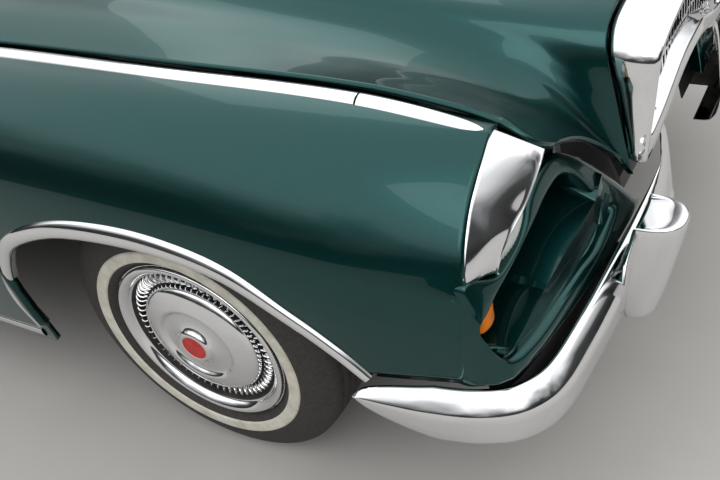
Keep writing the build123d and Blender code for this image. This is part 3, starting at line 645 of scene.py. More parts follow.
# The painted face beside the grille leans back, y = FACE_Y at z = 500. Its outer corner turns to the wing
FACE_Y = -2427
FACE_LEAN = 0.4
# Plan of the corner, from the wing to the middle, as (x, y)
FACE_PLAN = [(846, -2290), (843, -2325), (840, -2350), (836, -2368), (828, -2386), (810, -2404),
             (775, -2418), (720, -2430), (600, -2447), (400, -2462), (0, -2467)]
# The band's outer edge and the opening's edge as matched points (x, z, y). Where y is 0 it follows the face,
# and elsewhere it is fixed, because the edge meets the wing
FACE_OUT = [(812, 688, -2340), (748, 656, 0), (676, 653, 0), (621, 662, 0), (570, 684, 0), (505, 693, 0),
            (447, 686, 0), (405, 658, 0), (360, 612, 0), (300, 528, 0), (262, 468, 0), (252, 446, 0),
            (340, 447, 0), (430, 455, 0), (530, 465, 0), (620, 475, 0), (700, 485, 0), (770, 492, 0),
            (815, 490, 0), (836, 487, -2362), (842, 484, -2321), (841, 540, -2330), (837, 600, -2337),
            (827, 650, -2342)]
FACE_IN = [(806, 633, 0), (735, 640, 0), (664, 645, 0), (584, 651, 0), (545, 654, 0), (505, 655, 0),
           (462, 651, 0), (426, 630, 0), (395, 578, 0), (362, 522, 0), (352, 509, 0), (362, 501, 0),
           (400, 496, 0), (460, 491, 0), (530, 496, 0), (610, 504, 0), (700, 511, 0), (765, 519, 0),
           (803, 527, 0), (816, 540, 0), (825, 562, 0), (831, 588, 0), (834, 610, 0), (829, 628, 0)]
# The tray behind the opening. Columns: x, lip z, ridge z, floor z at the rear
TRAY = [(362, 503, 545, 572), (400, 497, 552, 580), (460, 493, 558, 580), (530, 497, 562, 578),
        (610, 505, 563, 577), (650, 508, 565, 576), (664, 509, 565, 566), (765, 521, 562, 562),
        (805, 530, 563, 563), (828, 566, 568, 568)]
TRAY_RIDGE_Y, TRAY_REAR_Y = -2404, -2326
TRAY_TOP = 665
# How much higher the wall at the tray's inner end stands on its riser, ridge, floor and rear
TRAY_WALL = (0, 2, 10, 60)
# Black sheets of painted shade behind the slot above the face and below the face, where only shade shows.
# Columns: z, distance behind the face
SLOT_SHADE_ROWS = [(396, 36), (468, 50), (520, 70), (560, 118), (640, 124), (700, 130), (738, 190)]
LOW_SHADE_ROWS = [(354, 26), (400, 25), (450, 24)]


def face_y(x, z):
    """y of the painted face: the leaning plane or the corner's plan, whichever is further back, blended."""
    plan = np.array(FACE_PLAN[::-1], float)
    corner = np.interp(x, plan[:, 0], plan[:, 1])
    flat = FACE_Y + FACE_LEAN * (z - 500)
    return flat + 10 * np.log1p(np.exp(np.clip((corner - flat) / 10, -30, 30)))


def face_loop(points, count):
    """A closed loop on the face through matched points, by index so that two loops stay matched: x, z, y, how
    far the fixed points miss the face, and 1 where they are fixed."""
    p = np.asarray(points, float)
    n = len(p)
    u = np.linspace(0, n, count, endpoint=False)
    i, t = u.astype(int), (u % 1)[:, None]
    a, b, c, d = (p[(i + k) % n] for k in (-1, 0, 1, 2))
    q = smooth_step(a, b, c, d, t)
    y = face_y(q[:, 0], q[:, 1])
    pinned = np.where(p[:, 2] < 0, p[:, 2] - face_y(p[:, 0], p[:, 1]), 0)
    miss = pinned[i] + (pinned[(i + 1) % n] - pinned[i]) * t[:, 0]
    fixed = (p[:, 2] < 0) * 1.0
    return q[:, 0], q[:, 1], y, miss, fixed[i] + (fixed[(i + 1) % n] - fixed[i]) * t[:, 0]


def face_grid():
    """Loops from the outer return, over the rounded band to the opening, and straight back inside it."""
    xo, zo, yo, miss, fixed = face_loop(FACE_OUT, 264)
    xi, zi = face_loop(FACE_IN, 264)[:2]
    outer = np.stack([xo, yo + miss, zo], axis=1)
    away = unit(np.stack([xo - xi, 0 * xo, zo - zi], axis=1))
    rows = [outer + np.array([0, 30, 0]) - away * 2, outer + np.array([0, 8, 0]) - away * 0.5]
    for t in np.linspace(0, 1, 14):
        x, z = xo + (xi - xo) * t, zo + (zi - zo) * t
        rolled = 5 * np.abs(2 * t - 1) ** 4 * (1 if t > 0.5 else 1 - fixed)
        y = face_y(x, z) + miss * (1 - t) + rolled
        rows.append(np.stack([x, y, z], axis=1))
    edge = rows[-1]
    rows += [edge - away * 2 + np.array([0, 3, 0]), edge - away * 3.5 + np.array([0, 9, 0])]
    rear = edge - away * 5
    for t in (0.15, 0.5, 1.0):
        row = rear.copy()
        row[:, 1] = (rear[:, 1] + 14) * (1 - t) + TRAY_REAR_Y * t
        rows.append(row)
    return np.array(rows)


def painted_face(side, name):
    o = put(name, sided(face_grid(), side), PAINT, around=True)
    return facing(o, (side * 600, -2000, 600))


def tray(side, name):
    """Flat facets behind the opening: riser, ridge, floor and rear wall, with a wall at the inner end."""
    t = np.array(TRAY, float)
    x = t[:, 0]
    lip_y = face_y(x, t[:, 1])
    rows = [np.stack([x, lip_y + 7, t[:, 1] - 4], axis=1), np.stack([x, lip_y + 20, t[:, 1] + 2], axis=1),
            np.stack([x, TRAY_RIDGE_Y + 0 * x, t[:, 2]], axis=1),
            np.stack([x, TRAY_REAR_Y + 0 * x, t[:, 3]], axis=1),
            np.stack([x, TRAY_REAR_Y + 4 + 0 * x, TRAY_TOP + 0 * x], axis=1)]
    rows = np.array(rows)
    wall = rows[:, 1:2].copy()
    wall[1:, 0, 2] += TRAY_WALL
    rows = np.concatenate([rows[:, :1] + np.array([-6, 0, 40]), wall, rows[:, 1:]], axis=1)
    o = put(name, sided(rows, side), PAINT)
    o = facing(o, (side * 600, -2300, 400))
    o.data.set_sharp_from_angle(angle=np.radians(12))
    return solid(o, THIN)


def shade_sheet(side, name, x0, rows):
    """An upright black sheet of painted shade along the face's plan, from x0 outwards: rows are (z, distance
    behind the face).
    """
    x = np.linspace(x0, 812, 40)
    y = face_y(x, 460 + 0 * x)
    grid = np.array([np.stack([x, np.minimum(y + back, -2250), z + 0 * x], axis=1) for z, back in rows])
    return solid(facing(put(name, sided(grid, side), SHADE_SHEET_BLACK), (side * 500, -2000, 500)), PRESSING)


def turn_lens(side, name):
    """The amber lamp's face in the outer end of the opening: a half ellipse across, straight upwards."""
    a = np.linspace(0, np.pi, 24)[None, :]
    z = rounded([(578, 0.4), (582, 1), (634, 1), (640, 0.4)], 3, 24)
    x = 786 - 28 * np.cos(a) * z[:, 1:2]
    y = -2348 - 14 * np.sin(a) * z[:, 1:2]
    grid = np.stack([x, y, z[:, 0:1] + 0 * a], axis=-1)
    return facing(put(name, sided(grid, side), AMBER), (side * 786, -2300, 610))


# Grille surround: half outlines from the top middle to the bottom middle, as (x, z), on slanted planes
SHELL_LOW_Z, SHELL_TALL = 587, 275
SHELL_REAR = [(0, 862), (108, 862), (200, 858), (264, 843), (295, 814), (303, 776), (303, 740), (308, 690),
              (314, 640), (318, 604), (292, 596), (215, 606), (150, 627), (80, 652), (0, 658)]
SHELL_FRONT = [(0, 856), (98, 854), (180, 846), (254, 828), (285, 800), (293, 764), (296, 730), (302, 690),
               (312, 640), (320, 602), (296, 592), (215, 603), (150, 624), (80, 649), (0, 655)]
SHELL_MOUTH = [(0, 822), (88, 821), (156, 816), (216, 804), (246, 782), (255, 752), (259, 720), (267, 684),
               (277, 652), (281, 636), (262, 630), (200, 642), (146, 660), (80, 682), (0, 688)]
SHELL_DEEP = [(0, 812), (84, 811), (148, 807), (206, 796), (232, 776), (241, 748), (246, 716), (254, 684),
              (262, 662), (264, 650), (248, 644), (192, 654), (140, 671), (76, 693), (0, 699)]


def outline(half, y_top, y_low, count):
    """A closed loop across the car from a half outline, its y running straight from y_top to y_low."""
    p = np.asarray(half, float)
    whole = np.concatenate([p, (p * (-1, 1))[-2:0:-1]])
    loop = through(whole, count, closed=True)
    share = (loop[:, 1] - SHELL_LOW_Z) / SHELL_TALL
    return np.stack([loop[:, 0], y_low + (y_top - y_low) * share, loop[:, 1]], axis=1)


def grille_shell():
    """A loft from the rear edge to the front one, in over a sloping frame to the mouth, and back."""
    n = 260
    rear, front = outline(SHELL_REAR, -2398, -2446, n), outline(SHELL_FRONT, -2494, -2470, n)
    mouth, deep = outline(SHELL_MOUTH, -2486, -2466, n), outline(SHELL_DEEP, -2440, -2446, n)
    middle = np.array([0, 0, 720])
    swell = unit((rear - middle) * (1, 0, 1))
    rows = [rear + np.array([0, 14, 0]) - swell * 6, rear + np.array([0, 3, 0]) - swell * 2]
    rows += [rear + (front - rear) * t + swell * 5 * np.sin(np.pi * t) for t in np.linspace(0, 0.94, 9)]
    rows += [front + np.array([0, -3, 0]) - swell * 2, front + np.array([0, -5, 0]) - swell * 6]
    rows += [front + (mouth - front) * t + np.array([0, -5, 0]) for t in (0.35, 0.7, 0.93)]
    rows += [mouth, mouth + np.array([0, 5, 0]) - swell * 1.5]
    rows += [mouth + (deep - mouth) * t for t in (0.4, 0.8, 1.0)]
    o = put("chrome_grille_shell", np.array(rows), CHROME, around=True)
    return solid(facing(o, (0, -2400, 720)), PRESSING)


# Front bumper, two halves. Plan of the ridge from the rear tip to the inner end, as (x, y)
BUMPER_PLAN = [(905, -2130), (903, -2200), (897, -2270), (880, -2350), (848, -2416), (800, -2458),
               (740, -2478), (640, -2487), (520, -2492), (400, -2495), (300, -2497), (200, -2498)]
# Its section. Columns: z, inset from the ridge
BUMPER_SECTION = [(350, 62), (350, 36), (354, 22), (372, 9), (398, 3), (425, 0), (440, -1), (448, 1),
                  (458, 8), (470, 18), (476, 25), (480, 31), (481, 36), (479, 41), (470, 44)]
# How the inner end turns up to a point. Columns: x, z of the top
HORN_TOP = [(200, 606), (203, 664), (208, 664), (214, 606), (224, 562), (240, 534), (262, 516), (306, 500),
            (380, 484), (905, 481)]


BUMPER_MIDDLE_Z = 446
BUMPER_TOP_RISE = 35
HORN_START_Z = 482


def bumper_half(side, name):
    """A section carried along the plan. Near the rear tip it closes as the square root of the distance. Near
    the inner end its upper part is stretched up to HORN_TOP and laid back by 0.085 of its height, and more
    above z = 600."""
    plan = through(BUMPER_PLAN, 110)
    near_x = np.linspace(299, 200, 32)
    near_end = np.stack([near_x, np.interp(near_x, (200, 300), (-2498, -2497))], axis=1)
    plan = np.concatenate([plan[plan[:, 0] > 300], near_end])
    inward = looking_at(plan, (0, -1900))
    close = np.sqrt(np.clip(run_length(plan) / 150, 0, 1))
    section = rounded(BUMPER_SECTION, 7, 64)
    z = BUMPER_MIDDLE_Z + (section[:, 0:1] - BUMPER_MIDDLE_Z) * close[None, :]
    inset = section[:, 1:2] * (0.25 + 0.75 * close[None, :])
    top = np.array(HORN_TOP, float)
    top_z = np.interp(plan[:, 0], top[:, 0], top[:, 1])[None, :]
    up = section[:, 0:1] > BUMPER_MIDDLE_Z
    stretch = (top_z - BUMPER_MIDDLE_Z) / BUMPER_TOP_RISE
    z = np.where(up, BUMPER_MIDDLE_Z + (z - BUMPER_MIDDLE_Z) * stretch, z)
    share = np.clip((top_z - HORN_START_Z) / 60, 0, 1) * up
    rank = np.clip(np.arange(64)[:, None] - 50, 0, None) * 1.0
    leaning = 2 + 0.085 * (z - BUMPER_MIDDLE_Z) + 0.25 * np.clip(z - 600, 0, None) + rank
    inset = inset * (1 - share) + leaning * share
    x = plan[None, :, 0] + inward[None, :, 0] * inset
    y = plan[None, :, 1] + inward[None, :, 1] * inset
    o = put(name, sided(np.stack([x, y, z], axis=-1), side), CHROME)
    return solid(facing(o, (side * 500, -2100, 420)), PRESSING)


# One guard. Columns: z, y of its front, half-width, y of its rear
GUARD = [(356, -2524, 38, -2490), (372, -2536, 46, -2486), (430, -2553, 52, -2484), (510, -2573, 55, -2490),
         (560, -2584, 55, -2500), (584, -2588, 53, -2505), (592, -2586, 51, -2508)]
GUARD_X = 450


def guard_row(z, front, half, rear):
    """One level round the guard from its inner rear edge to its outer one: a pointed oval, x by the sine and
    y by a power of the cosine."""
    a = np.linspace(-np.pi / 2, np.pi / 2, 61)
    x = GUARD_X + half * np.sign(np.sin(a)) * np.abs(np.sin(a)) ** 0.8
    y = rear + (front - rear) * np.cos(a) ** 0.85
    return np.stack([x, y, z + 0 * a], axis=1)


def guard(side, name):
    """Rows up the leaning front, then over a sloping roof that closes at the rear edge; the back is open."""
    levels = through(GUARD, 46)
    foot = guard_row(*levels[0])
    rows = [foot + (foot.mean(axis=0) - foot) * np.array([0.12, 0.12, 0])]
    rows += [guard_row(*v) for v in levels]
    z, front, half, rear = levels[-1]
    for t in np.linspace(0.06, 1, 12):
        row = guard_row(z, front, half * (1 - 0.1 * t), rear)
        row[:, 1] = row[:, 1] + (rear - row[:, 1]) * t
        row[:, 2] = z + 2.5 * np.sin(np.pi * min(1, 3 * t) / 2) - 9 * t
        rows.append(row)
    o = put(name, sided(np.array(rows), side), CHROME)
    return solid(facing(o, (side * GUARD_X, -2500, 470)), PRESSING)


# Wheels. Sections about the X axis as (x out from the half track, radius)
TYRE_SECTION = [(-60, 196), (-74, 210), (-92, 240), (-95, 270), (-88, 300), (-76, 322), (-66, 331),
                (-40, 334), (0, 335), (40, 334), (66, 331), (76, 322), (88, 300), (96, 276), (99, 258)]
WALL_SECTION = [(99, 258), (101.5, 256.5), (102.5, 254), (102.6, 244), (102, 234), (100.5, 231.5),
                (98.5, 230)]
BEAD_SECTION = [(98.5, 230), (92, 222), (80, 212), (66, 204), (56, 198)]
RIM_SECTION = [(50, 196), (62, 199), (72, 205), (80, 211), (84, 214), (86, 211), (83, 206), (76, 201),
               (72, 196)]


def turned(name, section, y, side, mat, count, points):
    """A section of (outward x, radius), drawn smooth through so many points and turned about an axle at y."""
    s = through(section, points)
    a = np.linspace(0, 2 * np.pi, count, endpoint=False)
    x = np.broadcast_to(HALF_TRACK + s[:, 0:1], (len(s), count))
    grid = np.stack([x, y + s[:, 1:2] * np.cos(a), TYRE_R + s[:, 1:2] * np.sin(a)], axis=-1)
    return put(name, sided(grid, side), mat, around=True)


TREAD_GROOVES = (-48, -24, 0, 24, 48)
TREAD_STEPS = 180


def tyre_tread(name, y, side):
    """The tyre's carcass: the radius dips by 7 exp(-((x - groove - wave) / 2.2)^4), with 45 waves round."""
    s = through(TYRE_SECTION, 70)
    a = np.linspace(0, 2 * np.pi, TREAD_STEPS, endpoint=False)
    wave = 2.5 * np.sin(a * 45)[None, :]
    groove = np.zeros((len(s), TREAD_STEPS))
    for middle in TREAD_GROOVES:
        groove += 7 * np.exp(-(((s[:, 0:1] - middle - wave) / 2.2) ** 4))
    groove *= s[:, 1:2] > 325
    r = s[:, 1:2] - groove
    grid = np.stack([HALF_TRACK + s[:, 0:1] + 0 * r, y + r * np.cos(a), TYRE_R + r * np.sin(a)], axis=-1)
    return put(name, sided(grid, side), RUBBER, around=True)


# Wheel cover sections, as (outward x, radius)
COVER_RIM = [(70, 196), (82, 203), (88, 209), (92, 208), (94, 203), (92, 197), (86, 190), (80, 186),
             (78, 183)]
COVER_TRAY = [(78, 183), (62, 180), (57, 176), (56, 168), (57, 152), (60, 148)]
COVER_DOME = [(60, 148), (74, 146), (82, 142), (88, 132), (93, 118), (97, 104), (98, 96), (94, 90),
              (90, 86), (89, 82), (90, 66), (93, 52), (98, 44), (103, 40), (106, 34), (105, 30)]
COVER_DISC = [(105, 30), (103, 28), (103.6, 20), (104.4, 10), (104.6, 0.5)]
VANES = 60


def vanes(name, y, side):
    """The blades in the cover's ring: each is a small arched sheet, leaning more towards both its ends."""
    blade = np.arange(VANES) * 2 * np.pi / VANES
    across = np.linspace(-1, 1, 7)
    along = np.linspace(0, 1, 7)
    r = 151 + 29 * along
    lean = 0.030 * (along - 0.5) ** 2 * 4
    a = blade[:, None, None] + lean[None, :, None] + across[None, None, :] * 0.016
    arch = np.sin(np.pi * np.clip(along, 0.02, 0.98))[None, :, None] ** 0.4
    height = 62 + 14 * arch * (1 - across[None, None, :] ** 2) ** 0.5
    rr = np.broadcast_to(r[None, :, None], a.shape)
    xx = np.broadcast_to(HALF_TRACK + height, a.shape)
    pts = np.stack([side * xx, y + rr * np.cos(a), TYRE_R + rr * np.sin(a)], axis=-1)
    n, p, q = a.shape
    i, j, k = np.meshgrid(np.arange(n), np.arange(p - 1), np.arange(q - 1), indexing="ij")
    v = i * p * q + j * q + k
    faces = np.stack([v, v + q, v + q + 1, v + 1], axis=-1).reshape(-1, 4)
    if side > 0:
        faces = faces[:, ::-1]
    return mesh_object(name, pts.reshape(-1, 3), faces, CHROME)


# Bright trim along a wheel arch. Columns: share of the way round, width of the band
TRIM_WIDTH = [(0, 26), (0.25, 34), (0.5, 40), (0.75, 34), (1, 22)]
# Its section. Columns: share of the width, height off the body side
TRIM_SECTION = [(0, -16), (0, -4), (0.02, 3), (0.1, 6), (0.25, 9), (0.45, 10.5), (0.65, 9.5), (0.8, 8),
                (0.92, 6), (0.98, 3), (1, -1)]


def side_x(y, z):
    """The body side's x at y and z."""
    xc, zc, xm, zm, xs, zs = np.moveaxis(hermite(BODY_SIDE, y), -1, 0)
    up = np.clip((z - zm) / (zc - zm), 0, 1)
    down = np.clip((zm - z) / (zm - zs), 0, None)
    return np.where(z > zm, xc + (xm - xc) * np.sqrt(1 - up**2), xm - (xm - xs) * down**2)


def arch_trim(side, name, arch, axle_y):
    """A convex band that follows the arch, with a lip turned in over its edge."""
    curve = through(arch, 200)
    out = -looking_at(curve, (0, 330))
    width = along_table(TRIM_WIDTH, np.linspace(0, 1, 200))[:, 0]
    rows = []
    for across, lift in TRIM_SECTION:
        p = curve + out * (width * across)[:, None]
        y, z = p[:, 0] + axle_y, p[:, 1]
        rows.append(np.stack([side_x(y, z) + lift, y, z], axis=1))
    o = put(name, sided(np.array(rows), side), CHROME)
    return facing(o, (0, axle_y, 420))


# The strip along the wing's crest. Columns: y, half-width, height
STRIP_FRONT = [(-2308, 2, 2), (-2296, 8, 5), (-2270, 13, 8), (-2200, 16, 10), (-2092, 17, 10)]
STRIP_HALF, STRIP_HIGH = 16, 10


def crest_strip(side, name, rows):
    """A half-round moulding on the crest: its section is an arc across the crest's slope."""
    rows = np.array(rows, float)
    y = np.linspace(rows[0, 0], rows[-1, 0], 120)
    half, high = hermite(rows, y).T
    a = np.linspace(0, np.pi, 15)[:, None]
    body = hermite(BODY_SIDE, y)
    x0, z0 = body[:, 0] - 4, body[:, 1] - 1
    z = z0 + high * np.sin(a) - 3 * (1 - np.sin(a)) - 3 * np.cos(a)
    grid = np.stack([x0 + half * np.cos(a), y + 0 * a, z], axis=-1)
    o = put(name, sided(grid, side), CHROME)
    return facing(o, (side * 500, -1500, 700))


# Lines laid on the solids' skins

def skin(*names):
    """The skins of some solids as one tree for rays."""
    points, faces, base = [], [], 0
    for name in names:
        mesh = frame["nodes"][name].data
        co = np.empty(len(mesh.vertices) * 3)
        corner = np.empty(len(mesh.loops), int)
        mesh.vertices.foreach_get("co", co)
        mesh.loops.foreach_get("vertex_index", corner)
        points.append(co.reshape(-1, 3))
        faces.append(corner.reshape(-1, 3) + base)
        base += len(points[-1])
    return BVHTree.FromPolygons(np.concatenate(points).tolist(), np.concatenate(faces).tolist())


def running_mean(v, width, closed):
    """Each row averaged with its neighbours."""
    half = width // 2
    before, after = (v[-half:], v[:half]) if closed else (v[:1].repeat(half, 0), v[-1:].repeat(half, 0))
    ext = np.concatenate([before, v, after])
    return np.stack([ext[k:k + len(v)] for k in range(width)]).mean(axis=0)


def laid(line, tree, towards, closed=False):
    """A line's points cast along a direction onto a skin, with normals that look back at the start."""
    way = Vector(towards)
    found = [tree.ray_cast(Vector((p * MM).tolist()), way) for p in np.asarray(line, float)]
    found = [f for f in found if f[0] is not None]
    at = np.array([f[0][:] for f in found]) / MM
    normals = np.array([f[1][:] for f in found])
    normals *= -np.sign((normals * np.asarray(towards)).sum(axis=1))[:, None]
    at = running_mean(at, 5, closed)
    normals = running_mean(normals, 9, closed)
    return at, unit(normals)


def moulding(name, line, normals, half, high, closed=False):
    """A half-round strip on a line: across it by half cos(a) and off the surface by high sin(a)."""
    along = np.roll(line, -1, 0) - np.roll(line, 1, 0) if closed else np.gradient(line, axis=0)
    across = unit(np.cross(along, normals))
    a = np.linspace(0, np.pi, 11)[:, None, None]
    ends = np.ones(len(line))
    if not closed:
        run = np.linspace(0, 1, len(line))
        ends = np.sqrt(np.clip(np.minimum(run, 1 - run) * 40, 0.02, 1))
    grid = line + across * half * np.cos(a) * ends[:, None] + normals * (high * np.sin(a) * ends[:, None] - 2)
    o = put(name, grid, CHROME, around=closed)
    return facing(o, (line - normals * 300).mean(axis=0))


def outline_loop(corners, radius, count, y):
    """A closed outline through (x, z) corners with softened turns, at a plane y."""
    p = np.asarray(corners, float)
    p = np.concatenate([p, p[:1]])
    middle = (p[0] + p[1]) / 2
    loop = rounded(np.concatenate([[middle], p[1:], [middle]]), radius, count + 1)[:-1]
    return np.stack([loop[:, 0], y + 0 * loop[:, 0], loop[:, 1]], axis=1)


# Corners of the bright lines before they are cast onto the solids: (x, z) for screens, (y, z) for sides and
# (x, y, z) for the wiper
SCREEN_CORNERS = [(-619, 972), (619, 972), (519, 1320), (-519, 1320)]
REAR_CORNERS = [(-567, 981), (567, 981), (487, 1303), (-487, 1303)]
DRIP_LINE = [(-678, 912), (-246, 1306), (664, 1306), (815, 968)]
DOOR_GLASS_LINE = [(-628, 930), (-262, 1270), (386, 1270), (386, 970)]
WIPER_LINE = [(60, -1300, 1000), (150, -1300, 1040), (330, -1300, 1075), (470, -1300, 1090)]
BOOT_STRIP_ENDS = (1380, 2400)
BESIDE_X = 1200


def window_frame(name, corners, y, towards, *solids):
    """The bright frame of the windscreen or the rear window, cast along Y from a plane outside it."""
    line = outline_loop(corners, 70, 300, y)
    return moulding(name, *laid(line, skin(*solids), (0, towards, 0), True), 11, 7, True)


def beside(side, line):
    """A line of (y, z) set out beside the car, from where it is cast inwards."""
    return np.stack([side * BESIDE_X + 0 * line[:, 0], line[:, 0], line[:, 1]], axis=1)


def drip_rail(side, name):
    """The bright rail over the side windows, from the windscreen pillar's foot to the quarter's."""
    line = beside(side, rounded(DRIP_LINE, 60, 220))
    return moulding(name, *laid(line, skin("roof"), (-side, 0, 0)), 8, 9)


def door_glass_edge(side, name):
    """The bright edge along the top and front of the door's glass, which moves with it."""
    tree = skin("door_glass_left" if side > 0 else "door_glass_right")
    line = beside(side, rounded(DOOR_GLASS_LINE, 30, 160))
    return moulding(name, *laid(line, tree, (-side, 0, 0)), 6, 3)


def wiper(side, name):
    """An arm from the cowl up over the windscreen, and the blade along its upper end."""
    line = through(WIPER_LINE, 60)
    line[:, 0] *= side
    return moulding(name, *laid(line, skin("windscreen", "roof", "cowl"), (0, 1, 0)), 5, 9)


def boot_strip():
    """The strip down the middle of the boot lid, cast from above."""
    line = np.stack([np.zeros(120), np.linspace(*BOOT_STRIP_ENDS, 120), np.full(120, 1300.0)], axis=1)
    return moulding("boot_centre_strip", *laid(line, skin("boot_lid"), (0, 0, -1)), 10, 9)


# Sides: strips along the crest, the sill and the door's handle

SILL_HIGH = 30
HANDLE_Y, HANDLE_LONG, HANDLE_Z = 190, 170, 806
HANDLE_STEPS = 20


def side_strip(side, name, y0, y1):
    """A straight run of the crest's strip between two cuts."""
    return crest_strip(side, name, [(y, STRIP_HALF, STRIP_HIGH) for y in (y0, (y0 + y1) / 2, y1)])


def sill_band(side, name, y0, y1, low):
    """A shallow rounded band low on the side: it stands off by 6 (1 - v^4), v from -1 to 1 across it."""
    y = np.linspace(y0, y1, 60)[None, :]
    v = np.linspace(-1, 1, 13)[:, None]
    z = low + SILL_HIGH / 2 + v * SILL_HIGH / 2 + 0 * y
    x = side_x(y + 0 * z, z) + 6 * (1 - v**4) - 1.5
    grid = np.stack([x, y + 0 * z, z], axis=-1)
    return facing(put(name, sided(grid, side), CHROME), (0, (y0 + y1) / 2, 300))


def door_handle(side, name):
    """A bar that bows out by 26 sin(pi t)^0.6 between its two feet, with an oval section."""
    t = np.linspace(0, 1, 60)[:, None]
    a = np.linspace(0, 2 * np.pi, HANDLE_STEPS, endpoint=False)[None, :]
    y = HANDLE_Y + HANDLE_LONG * t
    z = HANDLE_Z + 0 * t
    thick = 7 + 5 * np.abs(2 * t - 1) ** 3
    x = side_x(y, z) + 26 * np.sin(np.pi * t) ** 0.6 - 2
    grid = np.stack([x + thick * 0.7 * np.cos(a), y + 0 * a, z + thick * np.sin(a)], axis=-1)
    feet = grid[[0, -1]].mean(axis=1, keepdims=True).repeat(HANDLE_STEPS, 1)
    grid = np.concatenate([feet[:1], grid, feet[1:]])
    middle = (side * 880, HANDLE_Y + HANDLE_LONG / 2, HANDLE_Z)
    return facing(put(name, sided(grid, side), CHROME, around=True), middle)


# Rear. Plan of the bumper's ridge, from its right tip, as (x, y), and its section as (z, inset)
REAR_BUMPER = [(-872, 2192), (-874, 2280), (-862, 2370), (-838, 2450), (-790, 2505), (-720, 2540),
               (-620, 2560), (-480, 2573), (-330, 2581), (-160, 2587), (0, 2589)]
REAR_SECTION = [(388, 60), (387, 40), (389, 22), (397, 9), (415, 2), (440, 0), (464, 1), (474, 7), (482, 8),
                (500, 9), (510, 16), (516, 30), (517, 46), (514, 60)]


REAR_MIDDLE_Z = 452

# Middle of the left tail lamp's lens and its radius
TAIL_LAMP = (700, 2466, 760)
TAIL_R = 44
PLATE_Z = 650


def rear_bumper():
    """A section with a ridge and a groove carried round the plan, drawn together at the tips."""
    half = np.array(REAR_BUMPER, float)
    plan = through(np.concatenate([half, half[-2::-1] * (-1, 1)]), 170)
    inward = looking_at(plan, (0, 1900))
    run = np.linspace(0, 1, 170)
    close = np.sqrt(np.clip(np.minimum(run, 1 - run) * 24, 0, 1))
    section = rounded(REAR_SECTION, 7, 48)
    z = REAR_MIDDLE_Z + (section[:, 0:1] - REAR_MIDDLE_Z) * close
    inset = section[:, 1:2] * (0.25 + 0.75 * close)
    grid = np.stack([plan[:, 0] + inward[:, 0] * inset, plan[:, 1] + inward[:, 1] * inset, z], axis=-1)
    return solid(facing(put("chrome_rear_bumper", grid, CHROME), (0, 2100, 440)), PRESSING)


def tail_lens(side, name):
    """A domed red lens with three shallow rings: depth by (1 - r^2)^0.6, less a cosine of the radius."""
    r = np.linspace(0, 1, 36)[:, None] ** 0.8
    a = np.linspace(0, 2 * np.pi, 90, endpoint=False)[None, :]
    y = TAIL_LAMP[1] + 20 * (1 - r**2) ** 0.6 - 0.8 * np.cos(r * 6 * np.pi)
    x, z = TAIL_LAMP[0] + TAIL_R * r * np.cos(a), TAIL_LAMP[2] + TAIL_R * r * np.sin(a)
    grid = np.stack([x, y + 0 * a, z], axis=-1)
    return facing(put(name, sided(grid, side), RED, around=True), (side * TAIL_LAMP[0], 2300, TAIL_LAMP[2]))


def tail_ring(side, name):
    """A half-round ring round the red lens: radius by the cosine and depth by the sine of one angle."""
    a = np.linspace(0, 2 * np.pi, 90, endpoint=False)[None, :]
    b = np.linspace(0, np.pi, 11)[:, None]
    r = TAIL_R + 7 + 7 * np.cos(b)
    y = TAIL_LAMP[1] - 2 + 10 * np.sin(b) + 0 * a
    grid = np.stack([TAIL_LAMP[0] + r * np.cos(a), y, TAIL_LAMP[2] + r * np.sin(a)], axis=-1)
    middle = (side * TAIL_LAMP[0], TAIL_LAMP[1] - 62, TAIL_LAMP[2])
    return facing(put(name, sided(grid, side), CHROME, around=True), middle)


def plate_sheet(name, half_x, half_z, y, bulge, mat):
    """An oblong in X and Z, raised towards the rear by bulge (1 - e^8), with e from 0 in the middle to 1."""
    x = np.linspace(-half_x, half_x, 41)[:, None]
    z = np.linspace(-half_z, half_z, 25)[None, :]
    edge = np.maximum(np.abs(x / half_x), np.abs(z / half_z))
    grid = np.stack([x + 0 * z, y + bulge * (1 - edge**8), PLATE_Z + z + 0 * x], axis=-1)
    return facing(put(name, grid, mat), (0, 2300, PLATE_Z))


# Seats

PAD_ROUNDNESS = 0.22
PAD_VOXEL = 17
TUNNEL_TOP_Z, TUNNEL_HALF, TUNNEL_SLOPE = 440, 178, 22
SWELL_FRAMES = 20
SWELL_LIMIT = 18
CUSHION_FOOT_Z, BACK_FOOT_Z = 300, 380
SEAM_SPACING = 104
SEAM_INSET = 62
SEAM_DEPTH = 7
SEAM_HALF = 9


def mesh_points(o):
    """A mesh's points in millimetres."""
    co = np.empty(len(o.data.vertices) * 3)
    o.data.vertices.foreach_get("co", co)
    return co.reshape(-1, 3) / MM


def applied(o):
    """A piece with its modifiers worked into its mesh and taken off."""
    made = bpy.data.meshes.new_from_object(o.evaluated_get(bpy.context.evaluated_depsgraph_get()))
    o.modifiers.clear()
    o.data = made
    return o


